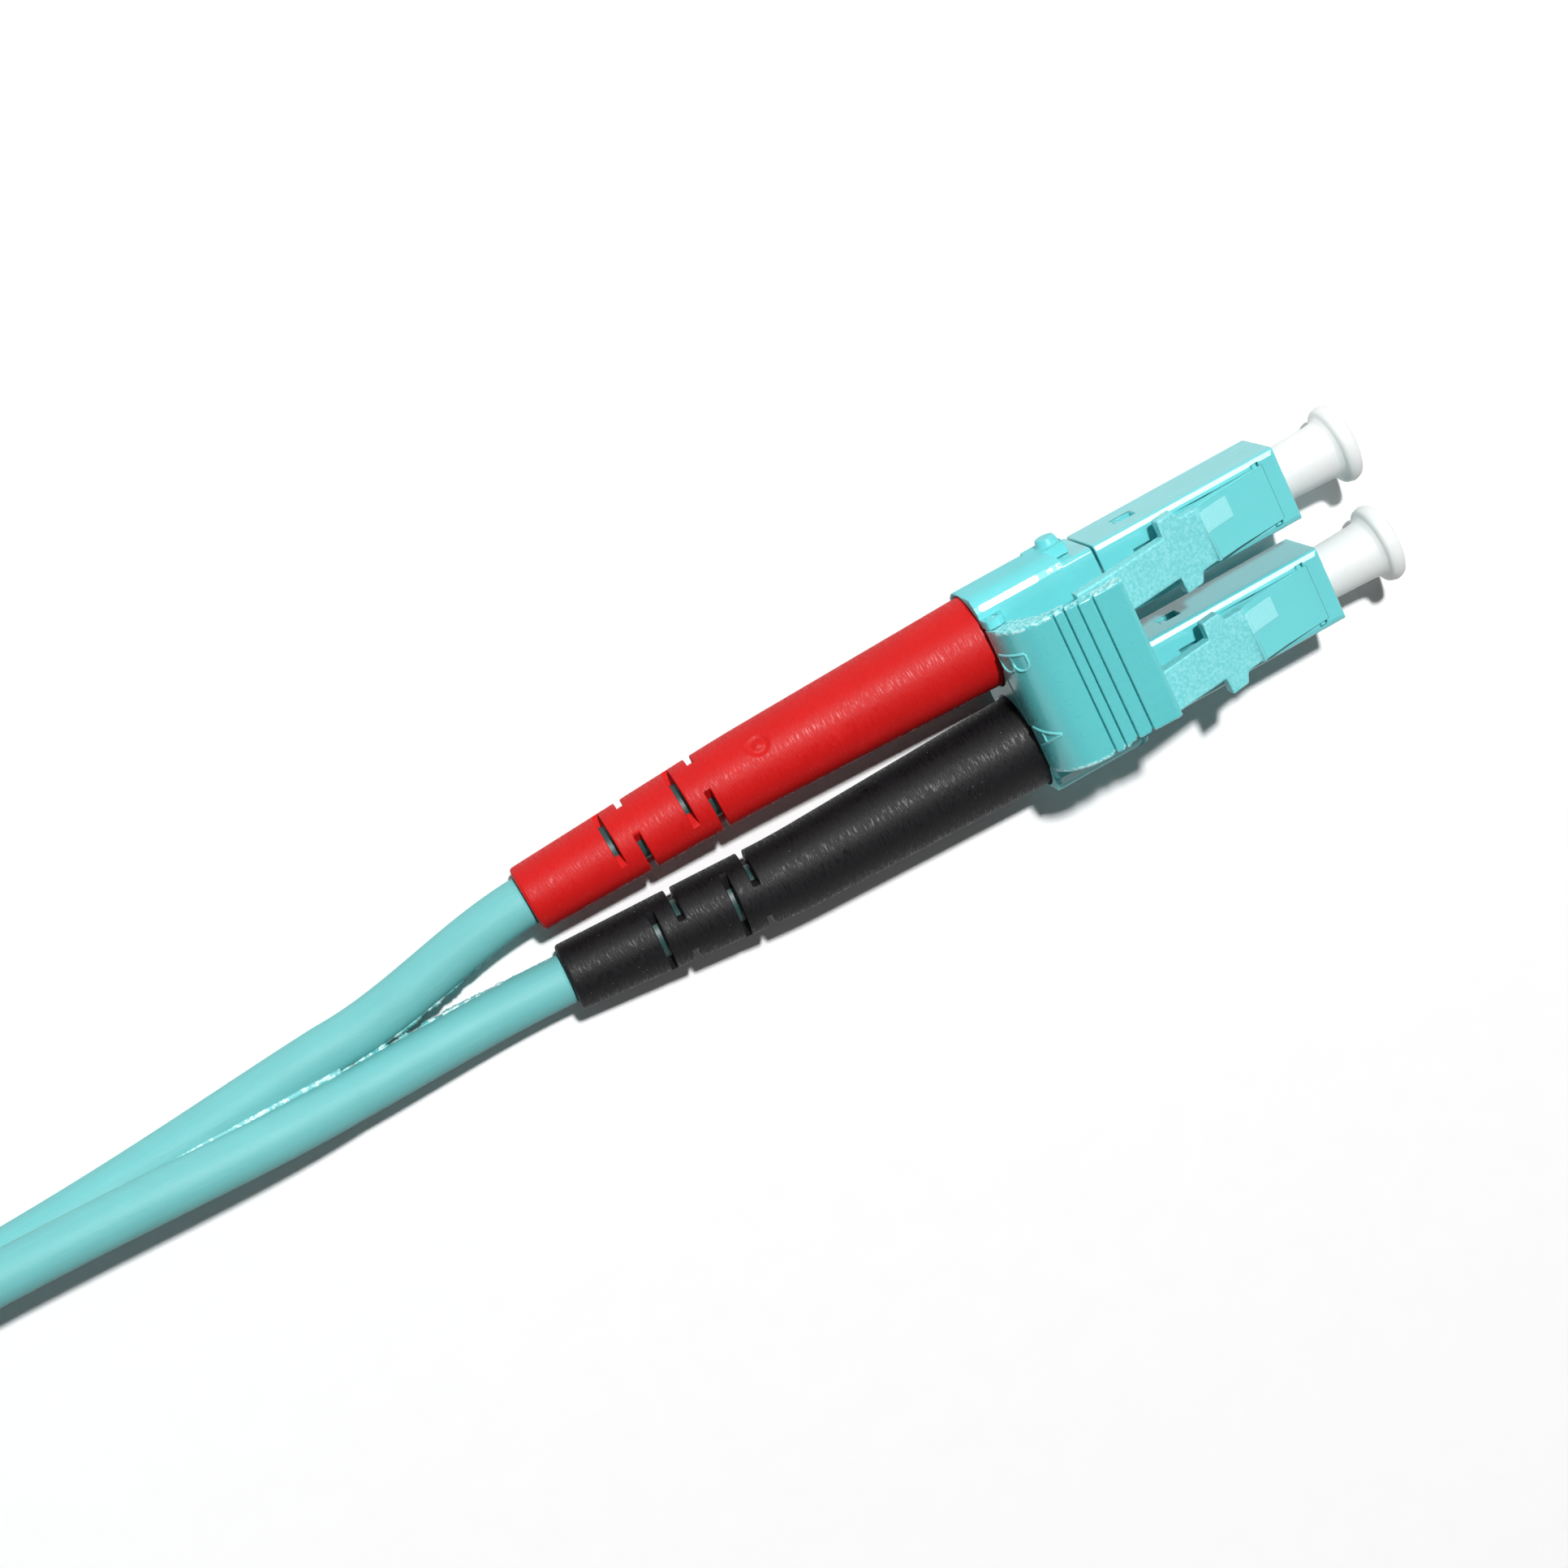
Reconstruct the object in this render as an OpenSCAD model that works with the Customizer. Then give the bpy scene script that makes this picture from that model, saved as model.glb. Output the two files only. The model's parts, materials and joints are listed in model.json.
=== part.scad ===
// Duplex fibre optic patch cord with small form factor square plugs.
// Two plugs sit side by side in a clip whose one trigger works both latch
// arms. Each plug has a sprung ferrule, a crimped back body, a slotted boot
// and a dust cap. A twin (zip) cord joins two such ends.
// X runs along the plugs, with the ferrule tips at +X. Z is up.

/* [Plug body] */
// Distance between the axes of the two plugs
pitch = 6.25; // [6.1:0.05:6.6]
// Width of the square plug body
plug_w = 4.42; // [4.3:0.02:4.56]
// Height of the square plug body
plug_h = 4.52; // [4.4:0.02:4.8]
// Length of the plug body, from its front face to the seam
plug_l = 11.4; // [11.2:0.1:11.9]
// Radius of the long edges of the plug body
plug_edge = 0.34; // [0.1:0.02:0.4]
// Bore of the plug body, round the ferrule
plug_bore = 3.0; // [2.9:0.02:3.1]
// Depth of the front bore, from the front face to the inner stop
nose_depth = 2.8; // [2.6:0.1:3]
// Thickness of the inner stop that the ferrule flange leans on
stop_t = 0.7; // [0.5:0.05:0.9]
// Length of the snap window in each side wall
window_l = 1.2; // [1.1:0.05:1.4]
// Height of the snap window
window_h = 1.0; // [0.8:0.05:1.2]

/* [Ferrule] */
// Diameter of the ceramic ferrule
ferrule_d = 1.249; // [1.2:0.001:1.3]
// How far the ferrule tip stands out of the plug body
ferrule_out = 2.0; // [1.8:0.05:2.2]
// Length of the ferrule
ferrule_l = 6.5; // [6.3:0.1:6.7]
// Diameter of the metal flange
flange_d = 2.5; // [2.3:0.05:2.7]
// Length of the metal flange
flange_t = 1.4; // [1.2:0.05:1.6]
// Diameter of the flange's stem, inside the spring
stem_d = 1.5; // [1.4:0.05:1.6]
// How far the ferrule can be pushed back against its spring
ferrule_travel = 0.8; // [0.4:0.05:1]
// Outer diameter of the spring
spring_od = 2.3; // [2.2:0.05:2.5]
// Diameter of the spring wire
spring_wire = 0.25; // [0.2:0.01:0.28]
// Number of turns of the spring
spring_turns = 4; // [3:1:4]

/* [Latch arm] */
// Width of the latch arm
arm_w = 3.25; // [3:0.05:3.5]
// Width over the two latch lugs
lug_w = 4.4; // [4.2:0.05:4.6]
// Width of the tail under the trigger
tail_w = 2.44; // [2.2:0.04:2.8]
// Distance from the front face to the rear of the lugs
lug_x = 8.2; // [8:0.05:8.4]
// Length of a lug along the plug
lug_l = 1.6; // [1.2:0.05:1.8]
// Height of the lugs' top above the plug axis
lug_top = 4.16; // [4:0.02:4.3]
// Distance from the front face to the end of the tail
tail_x = 14.2; // [13.9:0.1:14.5]
// Height of the tail's end above the plug axis
tail_top = 5.5; // [5.3:0.02:5.7]
// Height of the small ridge across the latch arm, in front of the lugs
ridge_h = 0.1; // [0.04:0.02:0.16]
// Thickness of the latch arm at the lugs
arm_t = 0.9; // [0.8:0.02:0.92]
// Thickness of the latch arm at its root
root_t = 0.5; // [0.44:0.02:0.52]
// Diameter of the latch arm's root pin
root_pin_d = 0.36; // [0.3:0.02:0.4]
// Largest swing of the latch arm, in degrees
arm_swing = 5.5; // [4.5:0.5:5.5]

/* [Back body and crimp] */
// Gap between the plug body and the collar
seam_gap = 0.15; // [0.1:0.01:0.2]
// Length of the square collar behind the plug body
collar_l = 1.9; // [1.7:0.05:2.1]
// Diameter of the round barrel that the clip holds
barrel_d = 4.3; // [4.1:0.05:4.5]
// Diameter of the crimp stem behind the barrel
crimp_stem_d = 2.7; // [2.6:0.02:2.76]
// Length of the crimp stem
crimp_stem_l = 4.8; // [4.4:0.1:5.2]
// Outer diameter of the crimp sleeve
sleeve_d = 3.6; // [3.4:0.05:3.7]
// Length of the crimp sleeve
sleeve_l = 7.4; // [7:0.1:7.6]
// Diameter of the tight buffer on the fibre
buffer_d = 0.9; // [0.8:0.05:0.95]

/* [Duplex clip] */
// Length of the clip
clip_l = 5.4; // [5.2:0.05:5.6]
// Width of the clip
clip_w = 12.1; // [12:0.05:12.4]
// Height of the clip's top above the plug axis
clip_top = 2.6; // [2.5:0.02:2.68]
// Height of the plug axis over the surface the clip stands on
axis_h = 2.8; // [2.75:0.01:3]
// Radius of the clip's long upper edges
clip_edge = 1.1; // [0.5:0.1:1.2]
// Radius of the clip's long lower edges, round the boots' sides
clip_belly = 2.5; // [1.6:0.1:2.5]
// Width of the snap slots under the clip
snap_slot_w = 3.4; // [3:0.1:3.8]
// Diameter of the round side nubs
nub_d = 1.4; // [1:0.1:1.6]
// How far the side nubs stand out
nub_out = 0.45; // [0.3:0.05:0.7]
// Length of the wings that carry the side nubs
wing_l = 2.05; // [1.9:0.05:2.2]
// Height of the wings
wing_h = 2; // [1.6:0.1:2.4]

/* [Trigger] */
// Width of the trigger
trig_w = 8.6; // [7.8:0.1:8.8]
// Distance from the plug front to the trigger's front edge
trig_front = 11.85; // [11.8:0.05:12.2]
// Height of the trigger's top above the plug axis, at the front
trig_top = 6.5; // [6.3:0.02:6.7]
// How much lower the trigger's top is behind the last groove
trig_fall = 0.3; // [0.2:0.05:0.4]
// Number of grip grooves across the trigger
groove_n = 4; // [2:1:4]
// Width of a grip groove
groove_w = 0.2; // [0.1:0.02:0.3]
// Depth of a grip groove
groove_d = 0.3; // [0.1:0.02:0.35]
// Diameter of the trigger's hinge pin
hinge_d = 0.6; // [0.5:0.02:0.66]
// Width of each hinge ear on the clip
ear_w = 0.5; // [0.4:0.05:0.8]
// Turn of a latch arm for each degree of the trigger
arm_ratio = 0.65; // [0.65:0.01:0.7]

/* [Boot] */
// Diameter of the boot at the clip
boot_d = 5.4; // [5.2:0.05:5.5]
// Diameter of the boot at its tail
boot_tail_d = 3.8; // [3.6:0.05:4.2]
// Length of the stiff front part of the boot
boot_front_l = 15.8; // [14:0.2:18]
// Length of the slotted tail of the boot
boot_tail_l = 13.2; // [12:0.2:15]
// How far the boot sits in the clip
boot_seat = 0.8; // [0.5:0.05:0.9]
// Width of a flex slot
slot_w = 0.45; // [0.3:0.05:0.8]
// Distance from the bend to the first side slots
slot_x = 2.0; // [1.8:0.1:2.4]
// Distance from side slots to the top slots behind them
slot_lag = 1.4; // [1.2:0.1:1.6]
// Distance from one pair of slots to the next
slot_step = 4.4; // [4:0.1:4.8]
// Height of the slots' floors over the boot's axis
slot_core = 0.95; // [0.8:0.05:1.1]
// How far boot A is turned about its own axis, in degrees
boot_turn_a = 5; // [-45:5:45]
// How far boot B is turned about its own axis, in degrees
boot_turn_b = -45; // [-45:5:45]
// Gap round the cord at the boot's mouth
mouth_gap = 0.16; // [0.1:0.02:0.24]
// How far the tail bends down, in degrees
tail_droop = 3.3; // [0:0.1:3.5]
// How far the two tails bend together, in degrees
tail_toe = 2.8; // [0:0.1:3.5]

/* [Dust cap] */
// Diameter of the dust cap's barrel at the plug
cap_d = 3.1; // [3:0.05:3.5]
// Diameter of the barrel at the flange
cap_d2 = 3.4; // [3.2:0.05:3.8]
// Diameter of the dust cap's flange
cap_flange_d = 4.6; // [4.2:0.05:5]
// Thickness of the flange
cap_flange_t = 0.95; // [0.7:0.05:1.2]
// How far the dust cap stands out of the plug body
cap_out = 4.6; // [4.4:0.1:5.4]
// Bore of the dust cap
cap_bore = 1.35; // [1.34:0.01:1.5]

/* [Cord] */
// Diameter of each of the two cords
cord_d = 2.8; // [2.6:0.05:2.85]
// Thickness of the web between the two cords
web_t = 0.9; // [0.4:0.05:1.4]
// Distance between the two cords' axes
cord_step = 2.86; // [2.8:0.02:3]
// Outer radius of the coil's ends, at the middle of the cord
loop_r = 29; // [28:0.5:32]
// Length of the coil's straight runs
loop_run = 36; // [30:1:44]
// Distance from one turn of the coil to the next
loop_step = 4.3; // [4.3:0.1:5]
// Gap between the two layers of the coil
layer_gap = 0.5; // [0.45:0.05:1]

/* [Clearances] */
// Clearance round sliding and hinged fits
fit = 0.05; // [0.03:0.01:0.06]
// Clearance round seated and crimped fits
seat = 0.02; // [0.01:0.01:0.03]

/* [Hidden] */

$fn = 48;
aqua = "#5fd3d3";
aqua_cord = "#6cc7bd";
red = "#d81e1e";
black = "#1c1c20";
white = "#eef2f0";

// stations along the plug, as distances behind the front face
seam_x = plug_l + seam_gap;          // front of the collar
clip_x = seam_x + collar_l;          // front of the clip
clip_end = clip_x + clip_l;          // rear of the clip
boot_x = clip_end - boot_seat;       // front of the boot
flange_x = nose_depth + stop_t + seat;   // front of the ferrule flange
stem_x = flange_x + flange_t;            // front of the stem
spigot_x = plug_l - 3.0;                 // front of the spigot, seat of the spring
stem_end = spigot_x - 0.3;
window_x = plug_l - 3.35;                // front of the snap window
sleeve_x = boot_x + 0.4;
crimp_end = boot_x + crimp_stem_l;
jacket_x = crimp_end + 0.2;
bend_x = boot_x + boot_front_l;      // where the boot's tail bends
bend_d = boot_d - (boot_d - boot_tail_d) * boot_front_l / (boot_front_l + boot_tail_l);

// the latch arm's root pin and the trigger's hinge pin
root_z = plug_h / 2 - root_t / 2 + 0.01;
root_x = 1.35;
hinge_x = clip_end - 0.55;
hinge_z = clip_top + hinge_d / 2 + 0.15;
trig_swing = arm_swing / arm_ratio;

// direction and end of a boot's tail; side is +1 or -1 along Y
function tail_dir(s) = [-cos(tail_droop) * cos(tail_toe),
    -s * cos(tail_droop) * sin(tail_toe), -sin(tail_droop)];
function tail_end(s) = [-bend_x, s * pitch / 2, axis_h] + boot_tail_l * tail_dir(s);
end_tilt = acos(cos(tail_droop) * cos(tail_toe));
near_x = (-tail_end(1)[0] + (boot_tail_d / 2 - 0.25) * sin(end_tilt) - cap_out) / 2;

// shared shapes ---------------------------------------------------------

// outline of a rectangle with rounded corners
function arc_pts(c, r, a0, a1, n) =
    [for (i = [0:n]) c + r * [cos(a0 + (a1 - a0) * i / n), sin(a0 + (a1 - a0) * i / n)]];
function rounded(w, h, r, rb) = concat(
    arc_pts([w / 2 - rb, -h / 2 + rb], rb, -90, 0, 5),
    arc_pts([w / 2 - r, h / 2 - r], r, 0, 90, 5),
    arc_pts([-w / 2 + r, h / 2 - r], r, 90, 180, 5),
    arc_pts([-w / 2 + rb, -h / 2 + rb], rb, 180, 270, 5));

// a bar from x0 to x1 whose outline is given in (y, z)
module bar(x0, x1, pts) {
    translate([x0, 0, 0]) rotate([90, 0, 90]) linear_extrude(x1 - x0) polygon(pts);
}
// a plate of width w whose side view is given in (x, z)
module side_plate(w, pts) {
    translate([0, w / 2, 0]) rotate([90, 0, 0]) linear_extrude(w) polygon(pts);
}
// a rod along X from x0 to x1
module rod(x0, x1, d) {
    translate([min(x0, x1), 0, 0]) rotate([0, 90, 0]) cylinder(d = d, h = abs(x1 - x0));
}
// a turned piece along X; points are (x, radius)
module turned(pts) {
    rotate([0, 90, 0]) rotate_extrude() polygon([for (p = pts) [p[1], p[0]]]);
}
// a pin along Y, w long
module cross_pin(x, z, d, w) {
    translate([x, w / 2, z]) rotate([90, 0, 0]) cylinder(d = d, h = w);
}

// plug body -------------------------------------------------------------

// the latch arm's side view: top line, then the underside back to the root
arm_front = root_x - 0.35;
// height of the arm's top line at distance x, up to the lugs
function arm_at(x) = let (h = plug_h / 2, a = h + 0.29 * (lug_top - h), b = h + 0.62 * (lug_top - h))
    a + (b - a) * (x - 3.9) / 2.1;
function arm_side() = [
    [-arm_front, plug_h / 2 + 0.01],
    [-3.9, arm_at(3.9)], [-5.4, arm_at(5.4)], [-5.45, arm_at(5.45) + ridge_h],
    [-5.63, arm_at(5.63) + ridge_h], [-5.7, arm_at(5.7) + 0.02], [-6.0, arm_at(6)],
    [-lug_x, lug_top],
    [-lug_x - 0.55 * (tail_x - lug_x), lug_top + 0.68 * (tail_top - lug_top)],
    [-tail_x, tail_top],
    [-tail_x, tail_top - arm_t + 0.05],
    [-lug_x - 0.55 * (tail_x - lug_x), lug_top + 0.68 * (tail_top - lug_top) - arm_t],
    [-lug_x, lug_top - arm_t],
    [-6.0, arm_at(6) - arm_t + 0.12], [-3.9, arm_at(3.9) - root_t - 0.1],
    [-arm_front - 0.3, plug_h / 2 - root_t + 0.01],
    [-arm_front, plug_h / 2 - root_t + 0.15]
];
// half of the latch arm's plan, from the root to the tail
function arm_plan() = let (a = arm_w / 2, b = lug_w / 2, c = tail_w / 2, f = lug_x - lug_l)
    [[-arm_front, a], [-f, a], [-f - 0.2, a + 0.1 * (b - a)], [-f - 0.33, a + 0.6 * (b - a)],
     [-f - 0.45, b], [-lug_x, b], [-lug_x, c], [-tail_x, c]];
// the pocket in the plug body that the pressed arm sinks into
function pocket_side() = let (p = [for (k = [15:-1:12]) arm_side()[k]],
    q = [for (v = p) [v[0], v[1] - 0.07 - (-v[0] - root_x) * sin(arm_swing)]])
    concat([[-arm_front + fit, q[0][1]]], q, [[-lug_x, plug_h], [-arm_front + fit, plug_h]]);

module latch_arm() {
    intersection() {
        side_plate(lug_w + 1, arm_side());
        translate([0, 0, 1]) linear_extrude(6) polygon(concat(arm_plan(),
            [for (i = [7:-1:0]) [arm_plan()[i][0], -arm_plan()[i][1]]]));
    }
    cross_pin(-root_x, root_z, root_pin_d, arm_w + 0.5);
}

module housing() {
    difference() {
        intersection() {
            bar(-plug_l, 0, rounded(plug_w, plug_h, plug_edge, plug_edge));
            // the nose is drawn in a little at the front face
            side_plate(plug_w + 1, [[-plug_l, -plug_h], [-0.18, -plug_h], [-0.18, -plug_h / 2],
                [0, -plug_h / 2 + 0.18], [0, plug_h / 2 - 0.18], [-0.18, plug_h / 2],
                [-0.18, plug_h], [-plug_l, plug_h]]);
        }
        rod(-nose_depth, 1, plug_bore);
        rod(-nose_depth - stop_t - 0.1, -nose_depth + 0.1, 2.1);
        rod(-plug_l - 1, -nose_depth - stop_t, plug_bore);
        // funnel at the mouth of the bore
        translate([-0.25, 0, 0]) rotate([0, 90, 0])
            cylinder(d1 = plug_bore, d2 = plug_bore + 0.7, h = 0.35);
        // snap windows
        translate([-window_x - window_l, -plug_w, -window_h / 2])
            cube([window_l, 2 * plug_w, window_h]);
        // slots in the top, beside the arm's tail
        for (j = [-1, 1]) translate([-lug_x - 1.25, j > 0 ? 0.74 : -0.98, plug_h / 2 - 0.5])
            cube([1.2, 0.24, 1]);
        // the latch arm's pocket and the sockets of its root pin
        side_plate(arm_w + 2 * fit, pocket_side());
        cross_pin(-root_x, root_z, root_pin_d + 2 * fit, arm_w + 0.5 + 2 * fit);
        translate([-root_x - root_pin_d / 2 - fit, -arm_w / 2 - 0.25 - fit, root_z])
            cube([root_pin_d + 2 * fit, arm_w + 0.5 + 2 * fit, 1]);
    }
}

// ferrule, flange and spring ---------------------------------------------

module ferrule() {
    rod(ferrule_out - 0.3, ferrule_out - ferrule_l, ferrule_d);
    translate([ferrule_out - 0.3, 0, 0]) rotate([0, 90, 0])
        cylinder(d1 = ferrule_d, d2 = ferrule_d - 0.4, h = 0.3);
}

module flange() {
    difference() {
        union() {
            intersection() {
                rod(-stem_x, -flange_x, flange_d);
                // two flats keep the flange from turning
                translate([-stem_x - 1, -flange_d, -flange_d / 2 + 0.12])
                    cube([flange_t + 2, 2 * flange_d, flange_d - 0.24]);
            }
            rod(-stem_end, -stem_x + 0.1, stem_d);
        }
        rod(ferrule_out - ferrule_l - 0.05, 0, ferrule_d + 2 * seat);
        rod(-stem_end - 1, -flange_x, buffer_d + 0.2);
    }
}

// one helix, swept as a tube with six sides and eight rings to a turn
spring_r = (spring_od - spring_wire) / 2;
spring_l = spigot_x - stem_x - spring_wire - 2 * seat;
function spring_pt(i) = let (a = 45 * i)
    [-stem_x - spring_wire / 2 - seat - spring_l * i / (8 * spring_turns),
     spring_r * cos(a), spring_r * sin(a)];
module spring() {
    n = 8 * spring_turns;
    pts = [for (i = [0:n]) let (a = 45 * i, c = spring_pt(i)) for (k = [0:5])
        let (b = 60 * k + 30, u = spring_wire / 2 / cos(30) * cos(b),
             v = spring_wire / 2 / cos(30) * sin(b))
        c + [u, v * cos(a), v * sin(a)]];
    polyhedron(pts, tube_faces(n + 1, 6, false));
}
echo("least gap between the spring's turns, mm", spring_l / spring_turns - spring_wire);

// back body, crimp sleeve, buffer and jacket ------------------------------

module back_body() {
    difference() {
        union() {
            rod(-seam_x - 0.1, -spigot_x, plug_bore - 2 * fit);
            bar(-clip_x + seat, -seam_x, rounded(plug_w, plug_h, plug_edge, plug_edge));
            rod(-boot_x + seat, -clip_x + 0.1, barrel_d);
            // ribbed crimp stem
            turned(concat([[-boot_x + 0.1, 0], [-boot_x + 0.1, crimp_stem_d / 2]],
                [for (i = [0:4]) let (x = -boot_x - 0.6 - 0.8 * i)
                    each [[x, crimp_stem_d / 2], [x - 0.2, crimp_stem_d / 2 - 0.12],
                          [x - 0.4, crimp_stem_d / 2]]],
                [[-crimp_end, crimp_stem_d / 2], [-crimp_end, 0]]));
            // snap tabs, seen in the plug body's windows
            intersection() {
                translate([-window_x - window_l + fit, -plug_w / 2 + 0.08, -window_h / 2 + fit])
                    cube([window_l - 0.45, plug_w - 0.16, window_h - 2 * fit]);
                translate([0, 0, -window_h / 2]) linear_extrude(window_h) polygon([
                    [-window_x - window_l, -plug_w], [-window_x - window_l, plug_w],
                    [-window_x - window_l + 0.3, plug_w / 2 - 0.05], [-window_x, plug_bore / 2],
                    [-window_x, -plug_bore / 2], [-window_x - window_l + 0.3, -plug_w / 2 + 0.05]]);
            }
        }
        rod(-crimp_end - 1, 0, buffer_d + 0.2);
        rod(-spigot_x - 1.6, 0, stem_d + 0.3);
    }
}

module crimp_sleeve() {
    a = sleeve_x + 0.6;
    b = sleeve_x + sleeve_l;
    inner = max(crimp_stem_d, cord_d) / 2 + seat;
    turned([[-sleeve_x, inner], [-sleeve_x, inner + 0.2], [-sleeve_x - 0.2, sleeve_d / 2],
        [-a, sleeve_d / 2], [-a - 0.1, sleeve_d / 2 - 0.1], [-b + 1.2, sleeve_d / 2 - 0.1],
        [-b + 1.1, sleeve_d / 2], [-b + 0.15, sleeve_d / 2], [-b, sleeve_d / 2 - 0.15],
        [-b, inner]]);
}

module buffer() {
    rod(-jacket_x + 0.05, ferrule_out - ferrule_l - ferrule_travel - 0.2, buffer_d);
}

// places the bent tail of a boot: its own frame starts at the bend
module in_tail(s) {
    translate([-bend_x, 0, 0]) rotate([0, -tail_droop, s * tail_toe]) children();
}

module jacket(s) {
    rod(-jacket_x, -bend_x - 0.3, cord_d - 0.2);
    in_tail(s) rod(0, -boot_tail_l, cord_d);
}

// boot ------------------------------------------------------------------

module boot(s, turn) {
    slope = (boot_d - boot_tail_d) / 2 / (boot_front_l + boot_tail_l);
    difference() {
        union() {
            turned([[-bend_x - 0.25, 0], [-bend_x - 0.25, bend_d / 2 - 0.05],
                [-boot_x - 0.35, boot_d / 2],
                [-boot_x - 0.1, boot_d / 2 - 0.1], [-boot_x, boot_d / 2 - 0.35], [-boot_x, 0]]);
            in_tail(s) turned([[-boot_tail_l, 0], [-boot_tail_l, boot_tail_d / 2 - 0.25],
                [-boot_tail_l + 0.08, boot_tail_d / 2 - 0.08],
                [-boot_tail_l + 0.25, boot_tail_d / 2 + 0.25 * slope],
                [0, bend_d / 2], [0, 0]]);
        }
        rod(-sleeve_x - sleeve_l - 0.4, -boot_x + 1, sleeve_d + 2 * fit);
        rod(-bend_x, -boot_x, cord_d + 2 * seat + 0.1);
        in_tail(s) {
            rod(-boot_tail_l - 1, 0.25, cord_d + 2 * seat);
            // the mouth is a little wider than the cord
            translate([-boot_tail_l - 0.01, 0, 0]) rotate([0, 90, 0])
                cylinder(d1 = cord_d + 2 * mouth_gap, d2 = cord_d - 0.06, h = 1);
            // flex slots, two pairs: first on the sides, then above and below
            rotate([turn, 0, 0]) for (i = [0:1], j = [-1, 1]) {
                translate([-slot_x - slot_w / 2 - slot_step * i, j > 0 ? slot_core : -slot_core - 3, -4])
                    cube([slot_w, 3, 8]);
                translate([-slot_x - slot_lag - slot_w / 2 - slot_step * i, -4,
                    j > 0 ? slot_core : -slot_core - 3]) cube([slot_w, 8, 3]);
            }
        }
    }
}

// dust cap --------------------------------------------------------------

module dust_cap() {
    r = cap_flange_d / 2;
    f = cap_flange_t;
    turned([
        [-nose_depth + 0.2, cap_bore / 2], [-nose_depth + 0.2, plug_bore / 2 - fit - 0.15],
        [-nose_depth + 0.35, plug_bore / 2 - fit], [0.04, plug_bore / 2 - fit], [0.04, cap_d / 2],
        [cap_out - f - 0.8, cap_d2 / 2 - 0.06], [cap_out - f - 0.25, cap_d2 / 2],
        [cap_out - f, cap_d2 / 2 + 0.2], [cap_out - f, r - 0.3], [cap_out - f + 0.1, r - 0.1],
        [cap_out - f / 2, r], [cap_out - 0.1, r - 0.1], [cap_out, r - 0.3],
        [cap_out, 1.2], [cap_out - 0.8, 1.05], [cap_out - 0.8, 0], [ferrule_out + 0.3, 0],
        [ferrule_out + 0.3, cap_bore / 2]]);
}

// duplex clip and trigger -------------------------------------------------

wing_y = pitch / 2 + plug_w / 2 + fit;   // inner side of the nubs' wings
module duplex_clip() {
    y_ear = trig_w / 2 + fit;
    difference() {
        union() {
            intersection() {
                translate([0, 0, (clip_top - axis_h) / 2]) bar(-clip_end, -clip_x,
                    rounded(clip_w, clip_top + axis_h, clip_edge, clip_belly));
                translate([-clip_end, 0, -axis_h - 1]) rotate([0, 0, -90])
                    linear_extrude(clip_top + axis_h + 2) translate([0, clip_l / 2])
                        polygon(rounded(clip_w, clip_l, 0.5, 0.25));
            }
            // hinge ears at the two ends of the trigger's root
            for (j = [-1, 1]) translate([0, j * (y_ear + ear_w / 2), 0])
                side_plate(ear_w, [[-clip_end, clip_top - 0.5], [-clip_end, hinge_z + 0.2],
                    [-clip_end + 0.1, hinge_z + 0.4], [-clip_end + 0.35, hinge_z + 0.5],
                    [-clip_end + 0.75, hinge_z + 0.5], [-clip_end + 1.05, hinge_z + 0.35],
                    [-clip_end + 1.3, clip_top - 0.1], [-clip_end + 1.3, clip_top - 0.5]]);
            // side nubs
            for (j = [-1, 1]) scale([1, j, 1]) {
                translate([-clip_x - 1, wing_y, -wing_h / 2])
                    cube([wing_l, clip_w / 2 - wing_y, wing_h]);
                translate([-clip_x + 0.35, clip_w / 2 - 0.1, 0]) rotate([-90, 0, 0])
                    cylinder(d1 = nub_d, d2 = nub_d - 0.3, h = 0.1 + nub_out);
            }
        }
        for (j = [-1, 1]) translate([0, j * pitch / 2, 0]) {
            rod(-clip_end - 1, 0, barrel_d + 2 * fit);
            rod(-clip_end - 1, -boot_x + seat, boot_d + 0.2);
            // slot that the barrel snaps through
            translate([-clip_end - 1, -snap_slot_w / 2, -axis_h - 1])
                cube([clip_l + 2, snap_slot_w, axis_h + 1]);
        }
        // trough and bearings of the trigger's hinge pin
        cross_pin(-hinge_x, hinge_z, hinge_d + 2 * fit, trig_w + 2 * ear_w + 0.1);
        // heel clearance under the trigger's root
        translate([-clip_end - 1, -y_ear, clip_top - 0.15]) cube([1.9, 2 * y_ear, 1]);
    }
}

trig_h0 = trig_top - trig_fall;
trig_under = tail_top + 0.08;
// the trigger's rounded back, a cubic curve from its heel to its top
function trig_back(t) = let (u = 1 - t)
    u * u * u * [-hinge_x - 0.6, hinge_z - 0.05] + 3 * u * u * t * [-hinge_x - 0.6, hinge_z + 1.6]
    + 3 * u * t * t * [-hinge_x + 0.1, trig_h0] + t * t * t * [-hinge_x + 2, trig_h0];
function trig_side() = [
    for (i = [0:10]) trig_back(i / 10),
    [-trig_front - 0.25, trig_top], [-trig_front, trig_top - 0.12],
    [-trig_front, tail_at(trig_front) + 0.1], [-trig_front - 0.15, tail_at(trig_front) + 0.08],
    [-trig_front - 0.5, tail_at(trig_front + 0.5) + 0.08], [-trig_front - 0.7, trig_under],
    [-tail_x - 0.6, trig_under], [-hinge_x + 1.8, trig_under - 0.45],
    [-hinge_x + 1.1, hinge_z + 0.9], [-hinge_x + 0.6, hinge_z + 0.1],
    [-hinge_x + 0.3, hinge_z - 0.35], [-hinge_x - 0.35, hinge_z - 0.35]];
// height of the tail's top line at distance x behind the front face
function tail_at(x) = let (m = lug_x + 0.55 * (tail_x - lug_x),
    h = lug_top + 0.68 * (tail_top - lug_top)) h + (tail_top - h) * (x - m) / (tail_x - m);

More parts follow.
